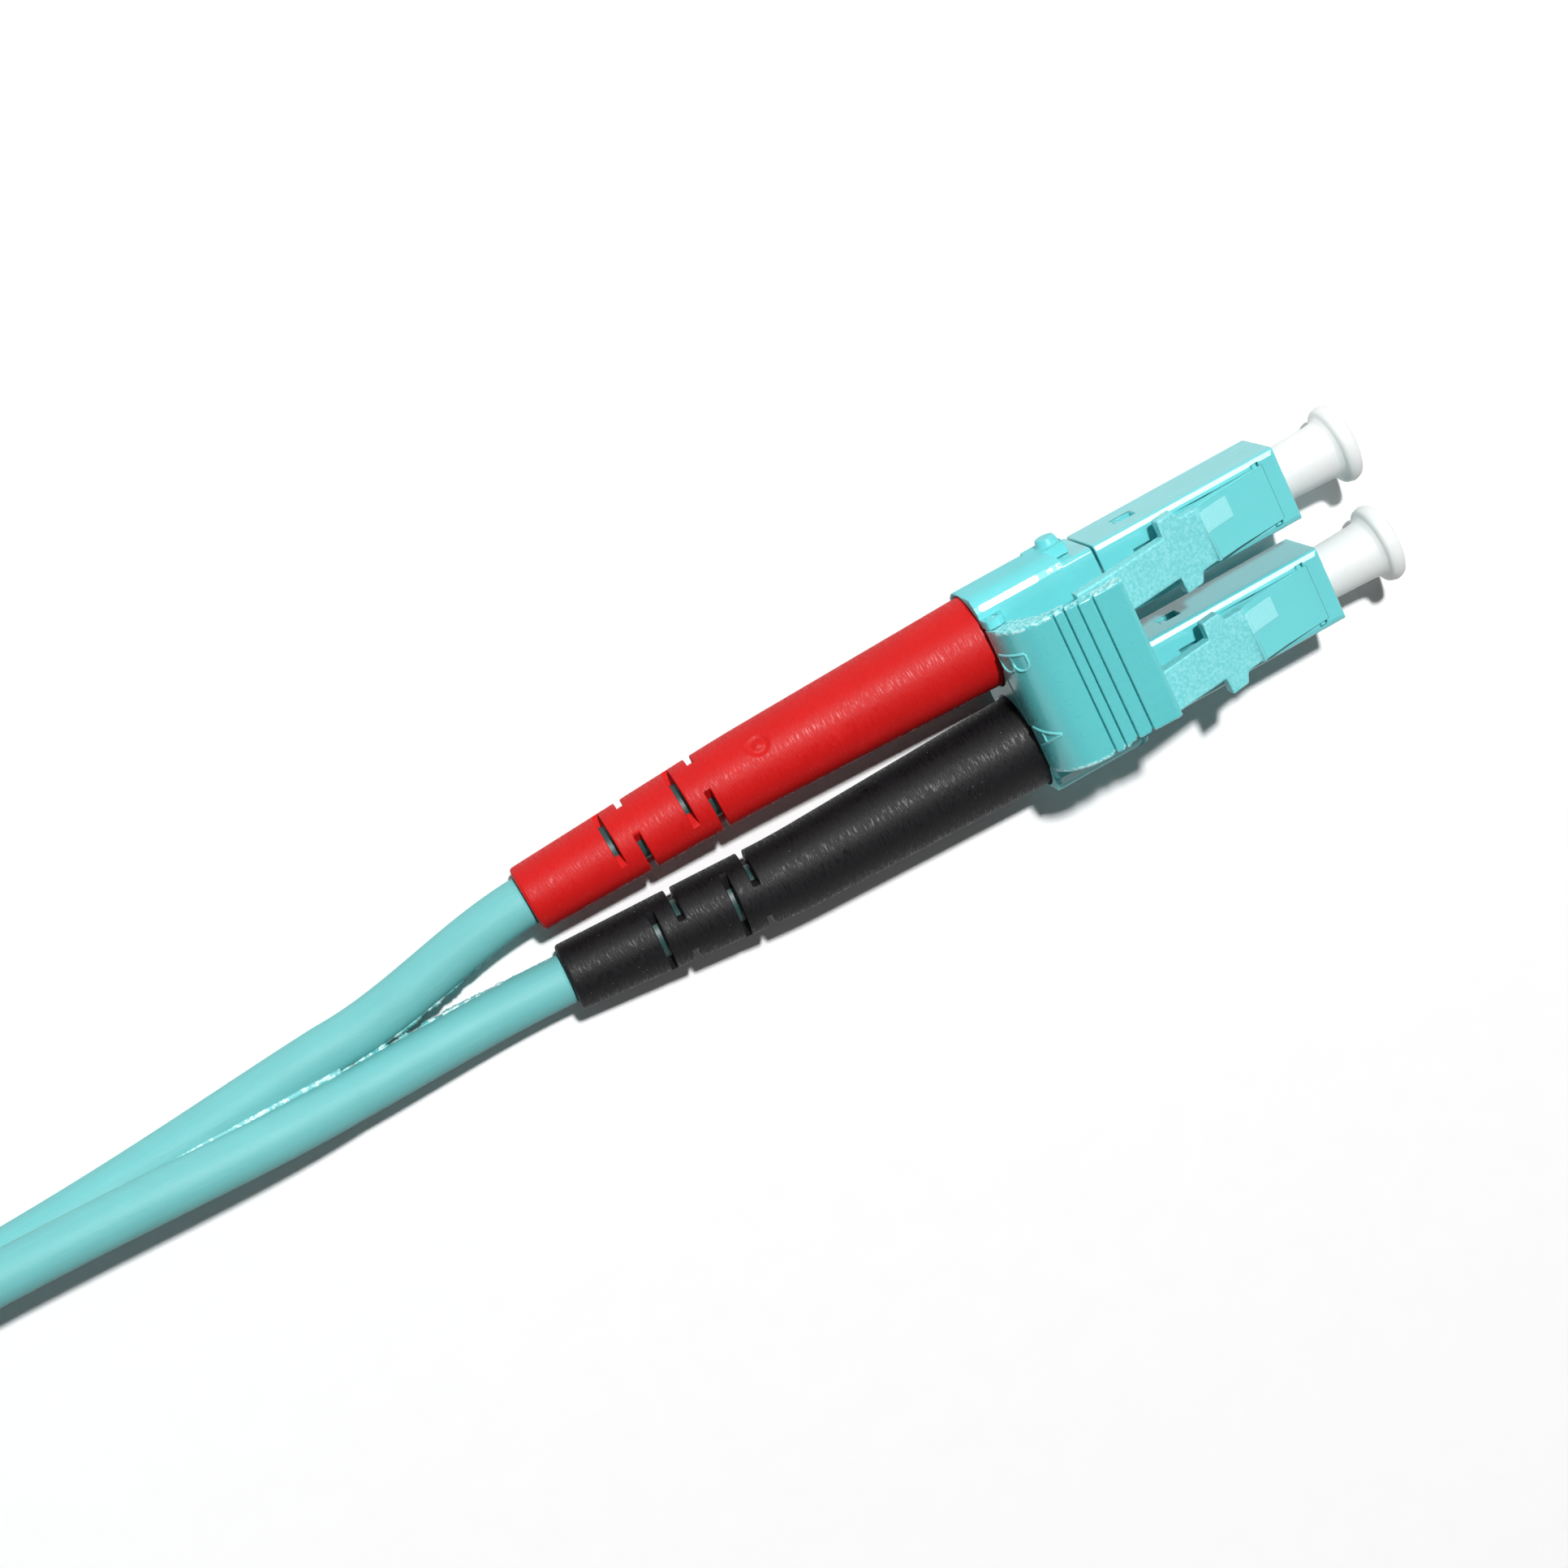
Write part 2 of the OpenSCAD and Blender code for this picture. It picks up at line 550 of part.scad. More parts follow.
module trigger() {
    difference() {
        union() {
            intersection() {
                side_plate(trig_w, trig_side());
                // the front part is a little narrower than the heel
                translate([0, 0, 0]) linear_extrude(trig_top + 1) polygon([
                    [-clip_end - 1, -trig_w / 2], [-clip_end - 1, trig_w / 2],
                    [-tail_x - 0.95, trig_w / 2], [-tail_x - 0.85, trig_w / 2 - 0.15],
                    [-trig_front + 1, trig_w / 2 - 0.15], [-trig_front + 1, -trig_w / 2 + 0.15],
                    [-tail_x - 0.85, -trig_w / 2 + 0.15], [-tail_x - 0.95, -trig_w / 2]]);
            }
            cross_pin(-hinge_x, hinge_z, hinge_d, trig_w + 2 * ear_w);
        }
        // grip grooves, a little wider apart towards the front
        for (i = [0:groove_n - 1]) let (x = trig_front + 1.85 + (0.98 - 0.07 * i) * i,
            z = trig_top - trig_fall * (x - trig_front) / (hinge_x - 2.2 - trig_front))
            translate([-x - groove_w / 2, -trig_w, z - groove_d]) cube([groove_w, 2 * trig_w, 1]);
    }
}

// cord ------------------------------------------------------------------

// faces of a tube of n rings with m points each; flip turns them inside out
function tube_faces(n, m, flip) = let (e = (n - 1) * m, f = concat(
    [for (k = [0:m - 3]) [m - 1, k, k + 1]],
    [for (i = [0:n - 2], k = [0:m - 1]) let (a = i * m + k, b = i * m + (k + 1) % m)
        each [[a, a + m, b + m], [a, b + m, b]]],
    [for (k = [0:m - 3]) [e + m - 1, e + k + 1, e + k]]))
    flip ? [for (t = f) [for (k = [len(t) - 1:-1:0]) t[k]]] : f;

// the twin cord's section: (along the line from cord b to cord a, across it)
c_r = cord_d / 2 / cos(22.5);
half_step = cord_step / 2;
zip_h = cord_step + cord_d;
zip_sec = concat(
    [for (k = [-3:2]) [half_step + c_r * cos(22.5 + 45 * k + 0), c_r * sin(22.5 + 45 * k)]],
    [[0, web_t / 2]],
    [for (k = [1:6]) [-half_step + c_r * cos(22.5 + 45 * k), c_r * sin(22.5 + 45 * k)]],
    [[0, -web_t / 2]]);

// a ring of the twin cord at point p, heading h degrees, rolled so that cord a
// stands roll degrees over the horizontal; hand swaps the sides it rolls to
function zip_ring(p, h, roll, hand) = let (
    right = [sin(h), -cos(h), 0] * hand,
    u = -right * cos(roll) + [0, 0, sin(roll)],
    v = right * sin(roll) + [0, 0, cos(roll)])
    [for (q = zip_sec) p + u * q[0] + v * q[1]];
module zip_tube(rings, flip) {
    polyhedron([for (r = rings) each r], tube_faces(len(rings), 14, flip));
}
function smooth(t) = let (c = min(1, max(0, t))) c * c * (3 - 2 * c);

// stations of the cord; x is behind the near plugs' front faces
zip_x = 60;                // where the two legs join
zip_y = -0.9;
zip_roll = 25;             // roll of the twin cord where the legs join
roll_l = 24;               // length in which it turns on edge
coil_x = 111;              // where the coil starts
function edge_z(roll) = cord_d / 2 + half_step * sin(roll);

// a leg from the boot's tail to the twin cord, along a cubic curve
function leg_goal(s, hand) = [-zip_x, hand * (zip_y + s * hand * half_step * cos(zip_roll)),
    edge_z(zip_roll) - s * hand * half_step * sin(zip_roll)];
function cubic(p0, d0, p1, d1, t) = p0 * (2 * t * t * t - 3 * t * t + 1)
    + d0 * (t * t * t - 2 * t * t + t) + p1 * (3 * t * t - 2 * t * t * t) + d1 * (t * t * t - t * t);
function cubic_dir(p0, d0, p1, d1, t) = let (d = p0 * (6 * t * t - 6 * t)
    + d0 * (3 * t * t - 4 * t + 1) + p1 * (6 * t - 6 * t * t) + d1 * (3 * t * t - 2 * t)) d / norm(d);
module leg(s, hand) {
    p0 = tail_end(s);
    p1 = leg_goal(s, hand);
    l = norm(p1 - p0);
    n = 5;
    pts = [for (i = [0:n]) let (t = i / n,
        c = cubic(p0, l * tail_dir(s), p1, [-l, 0, 0], t),
        d = cubic_dir(p0, l * tail_dir(s), p1, [-l, 0, 0], t),
        a = [d[1], -d[0], 0] / norm([d[1], -d[0], 0]), b = cross(a, d))
        for (k = [0:7]) c + c_r * (cos(22.5 + 45 * k) * a + sin(22.5 + 45 * k) * b)];
    polyhedron(pts, tube_faces(n + 1, 8, true));
}

// from the legs to the coil: straight along -X while it rolls on edge
module zip_lead() {
    xs = [0, 3, 6, 9, 12, 15, 18, 21, 24, 34, coil_x - zip_x];
    zip_tube([for (x = xs) let (r = 90 - (90 - zip_roll) * pow(max(0, 1 - x / roll_l), 2))
        zip_ring([-zip_x - x, zip_y, edge_z(r)], 180, r, 1)], false);
}

// the coil: oval turns that spiral in and out again in two layers
mid_r = 25.6;
round_l = 2 * loop_run + 2 * PI * mid_r;
run_part = loop_run / round_l;
arc_part = 0.5 - run_part;
coil_turns = 3 + run_part;
coil_y = zip_y + loop_r;
layer_h = zip_h + layer_gap;
function spiral_r(u) = loop_r - loop_step * min(u, coil_turns - u);
function layer_z(u) = layer_h * smooth((u - coil_turns / 2) / 0.36 + 0.5);
// point and heading on the oval at turn u: run, end, run, end
function oval(u, r) = let (w = u - floor(u))
    w < run_part ? [-coil_x - loop_run * w / run_part, coil_y - r, 180]
    : w < 0.5 ? let (a = 180 * (w - run_part) / arc_part)
        [-coil_x - loop_run - r * sin(a), coil_y - r * cos(a), 180 - a]
    : w < 0.5 + run_part ? [-coil_x - loop_run + loop_run * (w - 0.5) / run_part, coil_y + r, 0]
    : let (a = 180 * (w - 0.5 - run_part) / arc_part)
        [-coil_x + r * sin(a), coil_y + r * cos(a), -a];
// ring stations of one turn: 2 on each run, 10 on each end
function turn_u(i) = let (w = i % 24, k = w % 12, h = w < 12 ? 0 : 0.5)
    floor(i / 24) + h + (k < 2 ? run_part * k / 2 : run_part + arc_part * (k - 2) / 10);
coil_n = 74;
coil_pts = [for (i = [0:coil_n]) let (u = turn_u(i), o = oval(u, spiral_r(u)))
    [o[0], o[1], edge_z(90) + layer_z(u), o[2]]];
module zip_coil() {
    zip_tube([for (p = coil_pts) zip_ring([p[0], p[1], p[2]], p[3], 90, 1)], false);
}
// gap between two places on the cord, from their sections' widths and heights
function edge_gap(p, q) = let (a = norm([p[0] - q[0], p[1] - q[1]]) - cord_d,
    b = abs(p[2] - q[2]) - zip_h) a > 0 && b > 0 ? norm([a, b]) : max(a, b);
echo("least gap of the coil to itself, mm",
    min([for (i = [0:coil_n], j = [i + 12:coil_n]) edge_gap(coil_pts[i], coil_pts[j])]));

// from the coil round its end, up on to it, and into the far legs
far_gap = 0.05;
far_z = 2 * zip_h + layer_gap + far_gap;
tail_r = 25.5;
far_x = coil_x + loop_run - zip_x - 1;   // far front faces, behind the near ones
far_y = coil_y + tail_r + zip_y;
module zip_tail() {
    as = [0, 12, 24, 36, 48, 60, 72, 84, 96, 108, 120, 132, 144, 156, 168, 180];
    rings = [for (a = as) let (r = loop_r - (loop_r - tail_r) * smooth((a - 100) / 80),
        up = layer_h + (far_z - layer_h) * smooth(a / 100),
        roll = 90 - (90 - zip_roll) * smooth((a - 110) / 75))
        zip_ring([-coil_x - loop_run - r * sin(a), coil_y - r * cos(a), edge_z(roll) + up],
            180 - a, roll, 1)];
    zip_tube(concat(rings, [zip_ring([-far_x - zip_x, coil_y + tail_r, edge_z(zip_roll) + far_z],
        0, zip_roll, 1)]), false);
}

// placing ------------------------------------------------------------------

module near(s) { translate([near_x, s * pitch / 2, axis_h]) children(); }
module far(s) {
    translate([near_x - far_x, far_y + s * pitch / 2, axis_h + far_z]) children();
}
module far_cord() { translate([near_x - far_x, far_y, far_z]) children(); }

module housing_a() { color(aqua) near(-1) housing(); }
module housing_b() { color(aqua) near(1) housing(); }
module latch_arm_a() { color(aqua) near(-1) latch_arm(); }
module latch_arm_b() { color(aqua) near(1) latch_arm(); }
module ferrule_a() { color(white) near(-1) ferrule(); }
module ferrule_b() { color(white) near(1) ferrule(); }
module flange_a() { color("silver") near(-1) flange(); }
module flange_b() { color("silver") near(1) flange(); }
module spring_a() { color("silver") near(-1) spring(); }
module spring_b() { color("silver") near(1) spring(); }
module back_body_a() { color(aqua) near(-1) back_body(); }
module back_body_b() { color(aqua) near(1) back_body(); }
module crimp_sleeve_a() { color("silver") near(-1) crimp_sleeve(); }
module crimp_sleeve_b() { color("silver") near(1) crimp_sleeve(); }
module buffer_a() { color(aqua_cord) near(-1) buffer(); }
module buffer_b() { color(aqua_cord) near(1) buffer(); }
module jacket_a() { color(aqua_cord) near(-1) jacket(-1); }
module jacket_b() { color(aqua_cord) near(1) jacket(1); }
module boot_a() { color(black) near(-1) boot(-1, boot_turn_a); }
module boot_b() { color(red) near(1) boot(1, boot_turn_b); }
module dust_cap_a() { color(white) near(-1) dust_cap(); }
module dust_cap_b() { color(white) near(1) dust_cap(); }
module near_clip() { color(aqua) near(0) duplex_clip(); }
module near_trigger() { color(aqua) near(0) trigger(); }
module leg_a() { color(aqua_cord) translate([near_x, 0, 0]) leg(-1, 1); }
module leg_b() { color(aqua_cord) translate([near_x, 0, 0]) leg(1, 1); }
module cord_lead() { color(aqua_cord) translate([near_x, 0, 0]) zip_lead(); }
module cord_coil() { color(aqua_cord) translate([near_x, 0, 0]) zip_coil(); }
module cord_tail() { color(aqua_cord) translate([near_x, 0, 0]) zip_tail(); }
module far_leg_a() { color(aqua_cord) far_cord() leg(-1, -1); }
module far_leg_b() { color(aqua_cord) far_cord() leg(1, -1); }
module far_housing_a() { color(aqua) far(-1) housing(); }
module far_housing_b() { color(aqua) far(1) housing(); }
module far_latch_arm_a() { color(aqua) far(-1) latch_arm(); }
module far_latch_arm_b() { color(aqua) far(1) latch_arm(); }
module far_ferrule_a() { color(white) far(-1) ferrule(); }
module far_ferrule_b() { color(white) far(1) ferrule(); }
module far_flange_a() { color("silver") far(-1) flange(); }
module far_flange_b() { color("silver") far(1) flange(); }
module far_spring_a() { color("silver") far(-1) spring(); }
module far_spring_b() { color("silver") far(1) spring(); }
module far_back_body_a() { color(aqua) far(-1) back_body(); }
module far_back_body_b() { color(aqua) far(1) back_body(); }
module far_crimp_sleeve_a() { color("silver") far(-1) crimp_sleeve(); }
module far_crimp_sleeve_b() { color("silver") far(1) crimp_sleeve(); }
module far_jacket_a() { color(aqua_cord) far(-1) jacket(-1); }
module far_jacket_b() { color(aqua_cord) far(1) jacket(1); }
module far_boot_a() { color(black) far(-1) boot(-1, boot_turn_a); }
module far_boot_b() { color(red) far(1) boot(1, boot_turn_b); }
module far_dust_cap_a() { color(white) far(-1) dust_cap(); }
module far_dust_cap_b() { color(white) far(1) dust_cap(); }
module far_clip() { color(aqua) far(0) duplex_clip(); }
module far_trigger() { color(aqua) far(0) trigger(); }

housing_a();
housing_b();
latch_arm_a();
latch_arm_b();
ferrule_a();
ferrule_b();
flange_a();
flange_b();
spring_a();
spring_b();
back_body_a();
back_body_b();
crimp_sleeve_a();
crimp_sleeve_b();
buffer_a();
buffer_b();
jacket_a();
jacket_b();
boot_a();
boot_b();
dust_cap_a();
dust_cap_b();
near_clip();  // duplex_clip
near_trigger();  // trigger
leg_a();
leg_b();
cord_lead();  // zip_lead
cord_coil();  // zip_coil
cord_tail();  // zip_tail
far_leg_a();
far_leg_b();
far_housing_a();
far_housing_b();
far_latch_arm_a();
far_latch_arm_b();
far_ferrule_a();
far_ferrule_b();
far_flange_a();
far_flange_b();
far_spring_a();
far_spring_b();
far_back_body_a();
far_back_body_b();
far_crimp_sleeve_a();
far_crimp_sleeve_b();
far_jacket_a();
far_jacket_b();
far_boot_a();
far_boot_b();
far_dust_cap_a();
far_dust_cap_b();
far_clip();  // far_duplex_clip
far_trigger();
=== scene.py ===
"""Studio scene of a duplex fibre optic patch cord with two clipped plugs at each end.

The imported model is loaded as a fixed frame. Each operator dresses one group of its
pieces, and the stage operator adds the camera, the lamps and the floor.
"""

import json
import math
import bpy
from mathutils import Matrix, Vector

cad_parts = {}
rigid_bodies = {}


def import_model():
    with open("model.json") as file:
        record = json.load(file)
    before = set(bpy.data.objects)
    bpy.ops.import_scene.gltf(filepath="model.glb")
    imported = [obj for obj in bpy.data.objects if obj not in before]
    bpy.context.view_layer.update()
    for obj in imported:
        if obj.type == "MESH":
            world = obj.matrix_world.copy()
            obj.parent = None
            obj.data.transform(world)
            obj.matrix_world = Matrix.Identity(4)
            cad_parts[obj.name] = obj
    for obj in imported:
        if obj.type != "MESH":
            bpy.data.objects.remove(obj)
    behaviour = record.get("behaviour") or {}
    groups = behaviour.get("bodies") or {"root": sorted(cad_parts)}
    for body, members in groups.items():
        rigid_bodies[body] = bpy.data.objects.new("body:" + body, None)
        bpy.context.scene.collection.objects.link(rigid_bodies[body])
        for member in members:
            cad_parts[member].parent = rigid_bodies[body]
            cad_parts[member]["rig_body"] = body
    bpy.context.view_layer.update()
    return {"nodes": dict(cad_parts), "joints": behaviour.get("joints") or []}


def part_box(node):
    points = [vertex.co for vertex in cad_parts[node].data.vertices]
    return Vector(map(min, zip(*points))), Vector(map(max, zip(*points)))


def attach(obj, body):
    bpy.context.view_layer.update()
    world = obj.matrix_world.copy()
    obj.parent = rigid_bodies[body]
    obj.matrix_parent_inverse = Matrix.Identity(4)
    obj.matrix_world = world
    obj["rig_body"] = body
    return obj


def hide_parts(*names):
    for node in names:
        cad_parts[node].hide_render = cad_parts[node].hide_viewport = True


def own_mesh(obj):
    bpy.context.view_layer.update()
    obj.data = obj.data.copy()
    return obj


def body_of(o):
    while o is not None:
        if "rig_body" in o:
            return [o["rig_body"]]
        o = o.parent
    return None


bl_info = {
    "name": "Duplex Patch Cord",
    "version": (1, 0, 0),
    "blender": (4, 5, 0),
    "location": "3D View > Sidebar > Patch Cord",
    "description": "Moulded plugs, slotted boots, dust caps and twin cord of a patch cord",
    "category": "Object",
}

import bmesh
import bpy
import numpy as np
from bpy.props import FloatProperty, FloatVectorProperty, PointerProperty
from mathutils import Vector

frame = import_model()

# A millimetre and a micrometre in metres.
MM = 0.001
UM = 1e-6
# Front faces of the plugs of each end: x, y and height of the surface under the clip.
NEAR_X = 21.268432
FAR_BACK, FAR_Y, FAR_Z = 86.0, 52.7, 11.87
ENDS = {"": (NEAR_X, 0.0, 0.0), "far_": (NEAR_X - FAR_BACK, FAR_Y, FAR_Z)}
# Height of the plugs' axes above that surface, the distance between the two axes, and
# the letter and side of each plug.
AXIS_Z = 2.8
PITCH = 6.25
PLUGS = (("a", -1), ("b", 1))


# Node trees ---------------------------------------------------------------


class Wire:
    """A socket of a node tree. Arithmetic on it adds Math nodes."""

    def __init__(self, tree, socket):
        self.tree, self.socket = tree, socket

    def math(self, operation, other=None):
        """A Math node on this socket and, if it takes two, another."""
        inputs = [self] if other is None else [self, other]
        return self.tree.add("ShaderNodeMath", {"operation": operation}, inputs)

    def __add__(self, other):
        return self.math("ADD", other)

    def __sub__(self, other):
        return self.math("SUBTRACT", other)

    def __mul__(self, other):
        return self.math("MULTIPLY", other)

    def __truediv__(self, other):
        return self.math("DIVIDE", other)

    def __pow__(self, other):
        return self.math("POWER", other)

    def __rsub__(self, other):
        return self.tree.add("ShaderNodeMath", {"operation": "SUBTRACT"}, [other, self])

    def __rtruediv__(self, other):
        return self.tree.add("ShaderNodeMath", {"operation": "DIVIDE"}, [other, self])

    __radd__ = __add__
    __rmul__ = __mul__

    def step(self, low, high):
        """0 below low, 1 above high, and a smooth rise between them."""
        return self.tree.add(
            "ShaderNodeMapRange",
            {"interpolation_type": "SMOOTHSTEP"},
            {"Value": self, "From Min": low, "From Max": high},
        )


class Tree:
    """The node tree of a material or a world."""

    def __init__(self, holder):
        holder.use_nodes = True
        self.nodes = holder.node_tree.nodes
        self.links = holder.node_tree.links
        self.nodes.clear()

    def add(self, kind, settings=None, inputs=(), out=0):
        """Adds a node, sets it, then fills its sockets with values or wires."""
        node = self.nodes.new(kind)
        for name, value in (settings or {}).items():
            if name == "stops":
                ramp = node.color_ramp.elements
                while len(ramp) < len(value):
                    ramp.new(1.0)
                for stop, (place, colour) in zip(ramp, value):
                    stop.position, stop.color = place, colour
            else:
                setattr(node, name, value)
        pairs = inputs.items() if isinstance(inputs, dict) else enumerate(inputs)
        for key, value in pairs:
            if isinstance(value, Wire):
                self.links.new(value.socket, node.inputs[key])
            else:
                node.inputs[key].default_value = value
        return Wire(self, node.outputs[out]) if node.outputs else None

    def place(self):
        """Object coordinates, in metres."""
        return self.add("ShaderNodeTexCoord", out="Object")

    def part(self, vector, axis):
        """The x, y or z of a vector, for an axis of 0, 1 or 2."""
        return self.add("ShaderNodeSeparateXYZ", inputs=[vector], out=axis)

    def noise(self, scale, detail=3.0, rough=0.5, where=None, stretch=None):
        """A noise value from 0 to 1; scale is its cells per metre."""
        where = where or self.place()
        if stretch:
            where = self.add("ShaderNodeMapping", inputs={"Vector": where, "Scale": stretch})
        inputs = {"Vector": where, "Scale": scale, "Detail": detail, "Roughness": rough}
        return self.add("ShaderNodeTexNoise", inputs=inputs)

    def cells(self, scale):
        """Distance to the nearest of random points; scale is their number per metre."""
        return self.add("ShaderNodeTexVoronoi", inputs={"Vector": self.place(), "Scale": scale})

    def mix(self, share, one, two):
        """Colour one turning to colour two as share goes from 0 to 1."""
        sockets = {0: share, 6: one, 7: two}
        return self.add("ShaderNodeMix", {"data_type": "RGBA"}, sockets, out=2)

    def bump(self, height, depth):
        """A normal from a height of 0 to 1 that is depth metres deep."""
        inputs = {"Strength": 1.0, "Distance": depth, "Height": height}
        return self.add("ShaderNodeBump", inputs=inputs)

    def plastic_base(self, colour, cloud, flow):
        """The colour of the aqua plastics: slight clouds, and paler flow lines."""
        base = self.mix(cloud, tone(colour, 0.94), tone(colour, 1.05))
        pale = tone(colour, 1.12, (0.015, 0.015, 0.015))
        return self.mix(flow.step(0.55, 0.75) * 0.3, base, pale)

    def flows(self):
        """The clouds, flow lines and fine unevenness of the aqua plastics."""
        cloud = self.noise(240.0, 4.0)
        flow = self.noise(900.0, 5.0, 0.6, stretch=(0.25, 1.0, 1.0))
        return cloud, flow, self.noise(3400.0, 3.0, 0.6)

    def principled(self, base, rough, height, depth, inputs):
        """The material's surface: a Principled BSDF bumped by a height of 0 to 1."""
        look = {"Base Color": base, "Roughness": rough, "Normal": self.bump(height, depth)}
        self.surface("ShaderNodeBsdfPrincipled", {**look, **inputs})

    def surface(self, kind, inputs, out_kind="ShaderNodeOutputMaterial"):
        """Adds the shader and the output that shows it."""
        self.add(out_kind, inputs={"Surface": self.add(kind, inputs=inputs)})


def new_finish(name):
    """A new material and its empty node tree."""
    material = bpy.data.materials.new(name)
    return material, Tree(material)


def tone(colour, factor=1.0, shift=(0.0, 0.0, 0.0)):
    """A colour made darker or lighter by factor, then shifted, as RGBA."""
    rgb = [min(1.0, max(0.0, c * factor + s)) for c, s in zip(colour, shift)]
    return (*rgb, 1.0)


# Finishes ----------------------------------------------------------------

# How far light wanders inside the aqua plastics: furthest for blue, scale in metres.
AQUA_DEPTH = {
    "Subsurface Weight": 0.08,
    "Subsurface Radius": (0.3, 0.9, 1.0),
    "Subsurface Scale": 0.0007,
}
GLOSS = {"Coat Weight": 0.4, "Coat Roughness": 0.1, "Coat IOR": 1.6}


def moulded_plastic(name, colour, rough=0.22, coat=0.4):
    """Glossy moulded plastic: slight clouds in its colour, faint flow lines, and a
    fine unevenness that breaks up the lamp's glint along the edges."""
    material, tree = new_finish(name)
    cloud, flow, fine = tree.flows()
    patch = tree.noise(420.0).step(0.4, 0.66)
    speck = tree.cells(2600.0).step(0.1, 0.04)
    base = tree.plastic_base(colour, cloud, flow)
    base = tree.mix(speck * 0.12, base, tone(colour, 0.72))
    height = fine * (patch * 0.8 + 0.2) + flow * 0.4
    rough = flow * 0.1 + fine * 0.06 + (rough - 0.08)
    inputs = {"IOR": 1.52, **GLOSS, "Coat Weight": coat, **AQUA_DEPTH}
    tree.principled(base, rough, height, 9 * UM, inputs)
    return material


def painted_glint_trigger_plastic(name, colour, middle):
    """Glossy moulded plastic of a trigger, with painted highlight: pale glint dashes painted
    along the edges of its side faces. middle is the y of its middle, in metres."""
    material, tree = new_finish(name)
    aside = tree.part(tree.place(), 1)
    side = (aside - middle).math("ABSOLUTE").step(4.05 * MM, 4.12 * MM)
    cloud, flow, fine = tree.flows()
    # Painted highlight: pale glint dashes along both side faces, which are also made rougher and
    # bumped there.
    broken = tree.noise(4200.0, 3.0, 0.6).step(0.46, 0.56) * side
    speck = tree.cells(2600.0).step(0.1, 0.04)
    base = tree.plastic_base(colour, cloud, flow)
    base = tree.mix(speck * 0.12, base, tone(colour, 0.72))
    base = tree.mix(broken * 0.8, base, tone(colour, 1.1, (0.4, 0.28, 0.28)))
    rough = flow * 0.1 + fine * 0.06 + 0.2 + broken * 0.2
    height = fine * 0.6 + flow * 0.4 + broken
    tree.principled(base, rough, height, 9 * UM, {"IOR": 1.5, **GLOSS, **AQUA_DEPTH})
    return material


# The polished bar on each of a clip's upper edges, in metres: how far its middle is
# behind the plugs' faces, half the length of its straight part, how far its middle
# line is from the clip's middle, and how far behind the faces the dashes start.
BAR_BACK, BAR_HALF, BAR_ASIDE, DASH_BACK = 16.75 * MM, 1.65 * MM, 5.37 * MM, 14.4 * MM


def clip_plastic(name, colour, front, middle, level):
    """Satin moulded plastic of a clip, whose upper rounded edges each have a polished
    strip with round ends. front is the x of the plugs' faces, middle the y halfway
    between them and level the z of their axes, in metres."""
    material, tree = new_finish(name)
    place = tree.place()
    along, aside, height = (tree.part(place, axis) for axis in range(3))
    past = ((along - (front - BAR_BACK)).math("ABSOLUTE") - BAR_HALF).math("MAXIMUM", 0.0)
    off = (aside - middle).math("ABSOLUTE") - BAR_ASIDE
    polished = (past * past + off * off).math("SQRT").step(0.2 * MM, 0.18 * MM)
    ahead = along.step(front - DASH_BACK, front - DASH_BACK + 0.1 * MM)
    dashes = tree.noise(5200.0, 2.0).step(0.5, 0.56) * ahead
    away = off.math("ABSOLUTE")
    strip = away.step(0.9 * MM, 0.7 * MM)
    polished = polished.math("MAXIMUM", dashes * away.step(0.15 * MM, 0.1 * MM))
    polished = polished * height.step(level, level + 0.1 * MM)
    cloud, flow, fine = tree.flows()
    dull = 1.0 - polished
    rough = dull * (flow * 0.1 + fine * 0.06 + 0.22 + strip * 0.2) + 0.08
    coat = {"Coat Weight": polished * 0.9 + 0.1, "Coat Roughness": 0.05, "Coat IOR": 2.0}
    base = tree.plastic_base(colour, cloud, flow)
    inputs = {"IOR": 1.5, **coat, **AQUA_DEPTH}
    tree.principled(base, rough, (fine + flow) * dull, 6 * UM, inputs)
    return material


def frosted_latch(name, colour, front, middle):
    """Moulded plastic of a latch arm. front is the x of the plug's face and middle the
    y of its axis, in metres: the panel ahead of the ridge is smooth but for a frosted
    rectangle on one side, and all behind the ridge is spark eroded to a coarse frost."""
    material, tree = new_finish(name)
    place = tree.place()
    along, aside = tree.part(place, 0), tree.part(place, 1)
    ridge, panel = front - 5.6 * MM, front - 3.7 * MM
    rear = along.step(ridge + 0.04 * MM, ridge - 0.04 * MM)
    ahead = along.step(panel + 0.03 * MM, panel - 0.03 * MM)
    half = (aside.step(middle, middle + 0.06 * MM)
            * aside.step(middle + 1.3 * MM, middle + 1.24 * MM))
    square = ahead * half * (1.0 - rear)
    frost = rear.math("MAXIMUM", square * 0.8)
    cloud = tree.noise(260.0, 4.0)
    pits = tree.noise(5200.0, 4.0, 0.65)
    fine = tree.noise(3400.0)
    base = tree.mix(cloud, tone(colour, 0.95), tone(colour, 1.05))
    # Painted highlight and shade on the frost: its pit crests are painted paler as sparkle and its
    # pit hollows darker as shade.
    painted_shade_tone, light = tone(colour, 0.93), tone(colour, 1.0, (0.12, 0.09, 0.09))
    base = tree.mix(frost, base, tree.mix(pits.step(0.35, 0.7), painted_shade_tone, light))
    base = tree.mix(square * 0.75, base, tone(colour, 1.05, (0.17, 0.13, 0.13)))
    rough = frost * 0.26 + fine * 0.08 + 0.16
    coat = {"Coat Weight": 0.4 - frost * 0.35, "Coat Roughness": 0.08, "Coat IOR": 1.6}
    inputs = {"IOR": 1.52, **coat, **AQUA_DEPTH, "Subsurface Weight": 0.1}
    tree.principled(base, rough, pits * frost + fine * 0.2, 32 * UM, inputs)
    return material


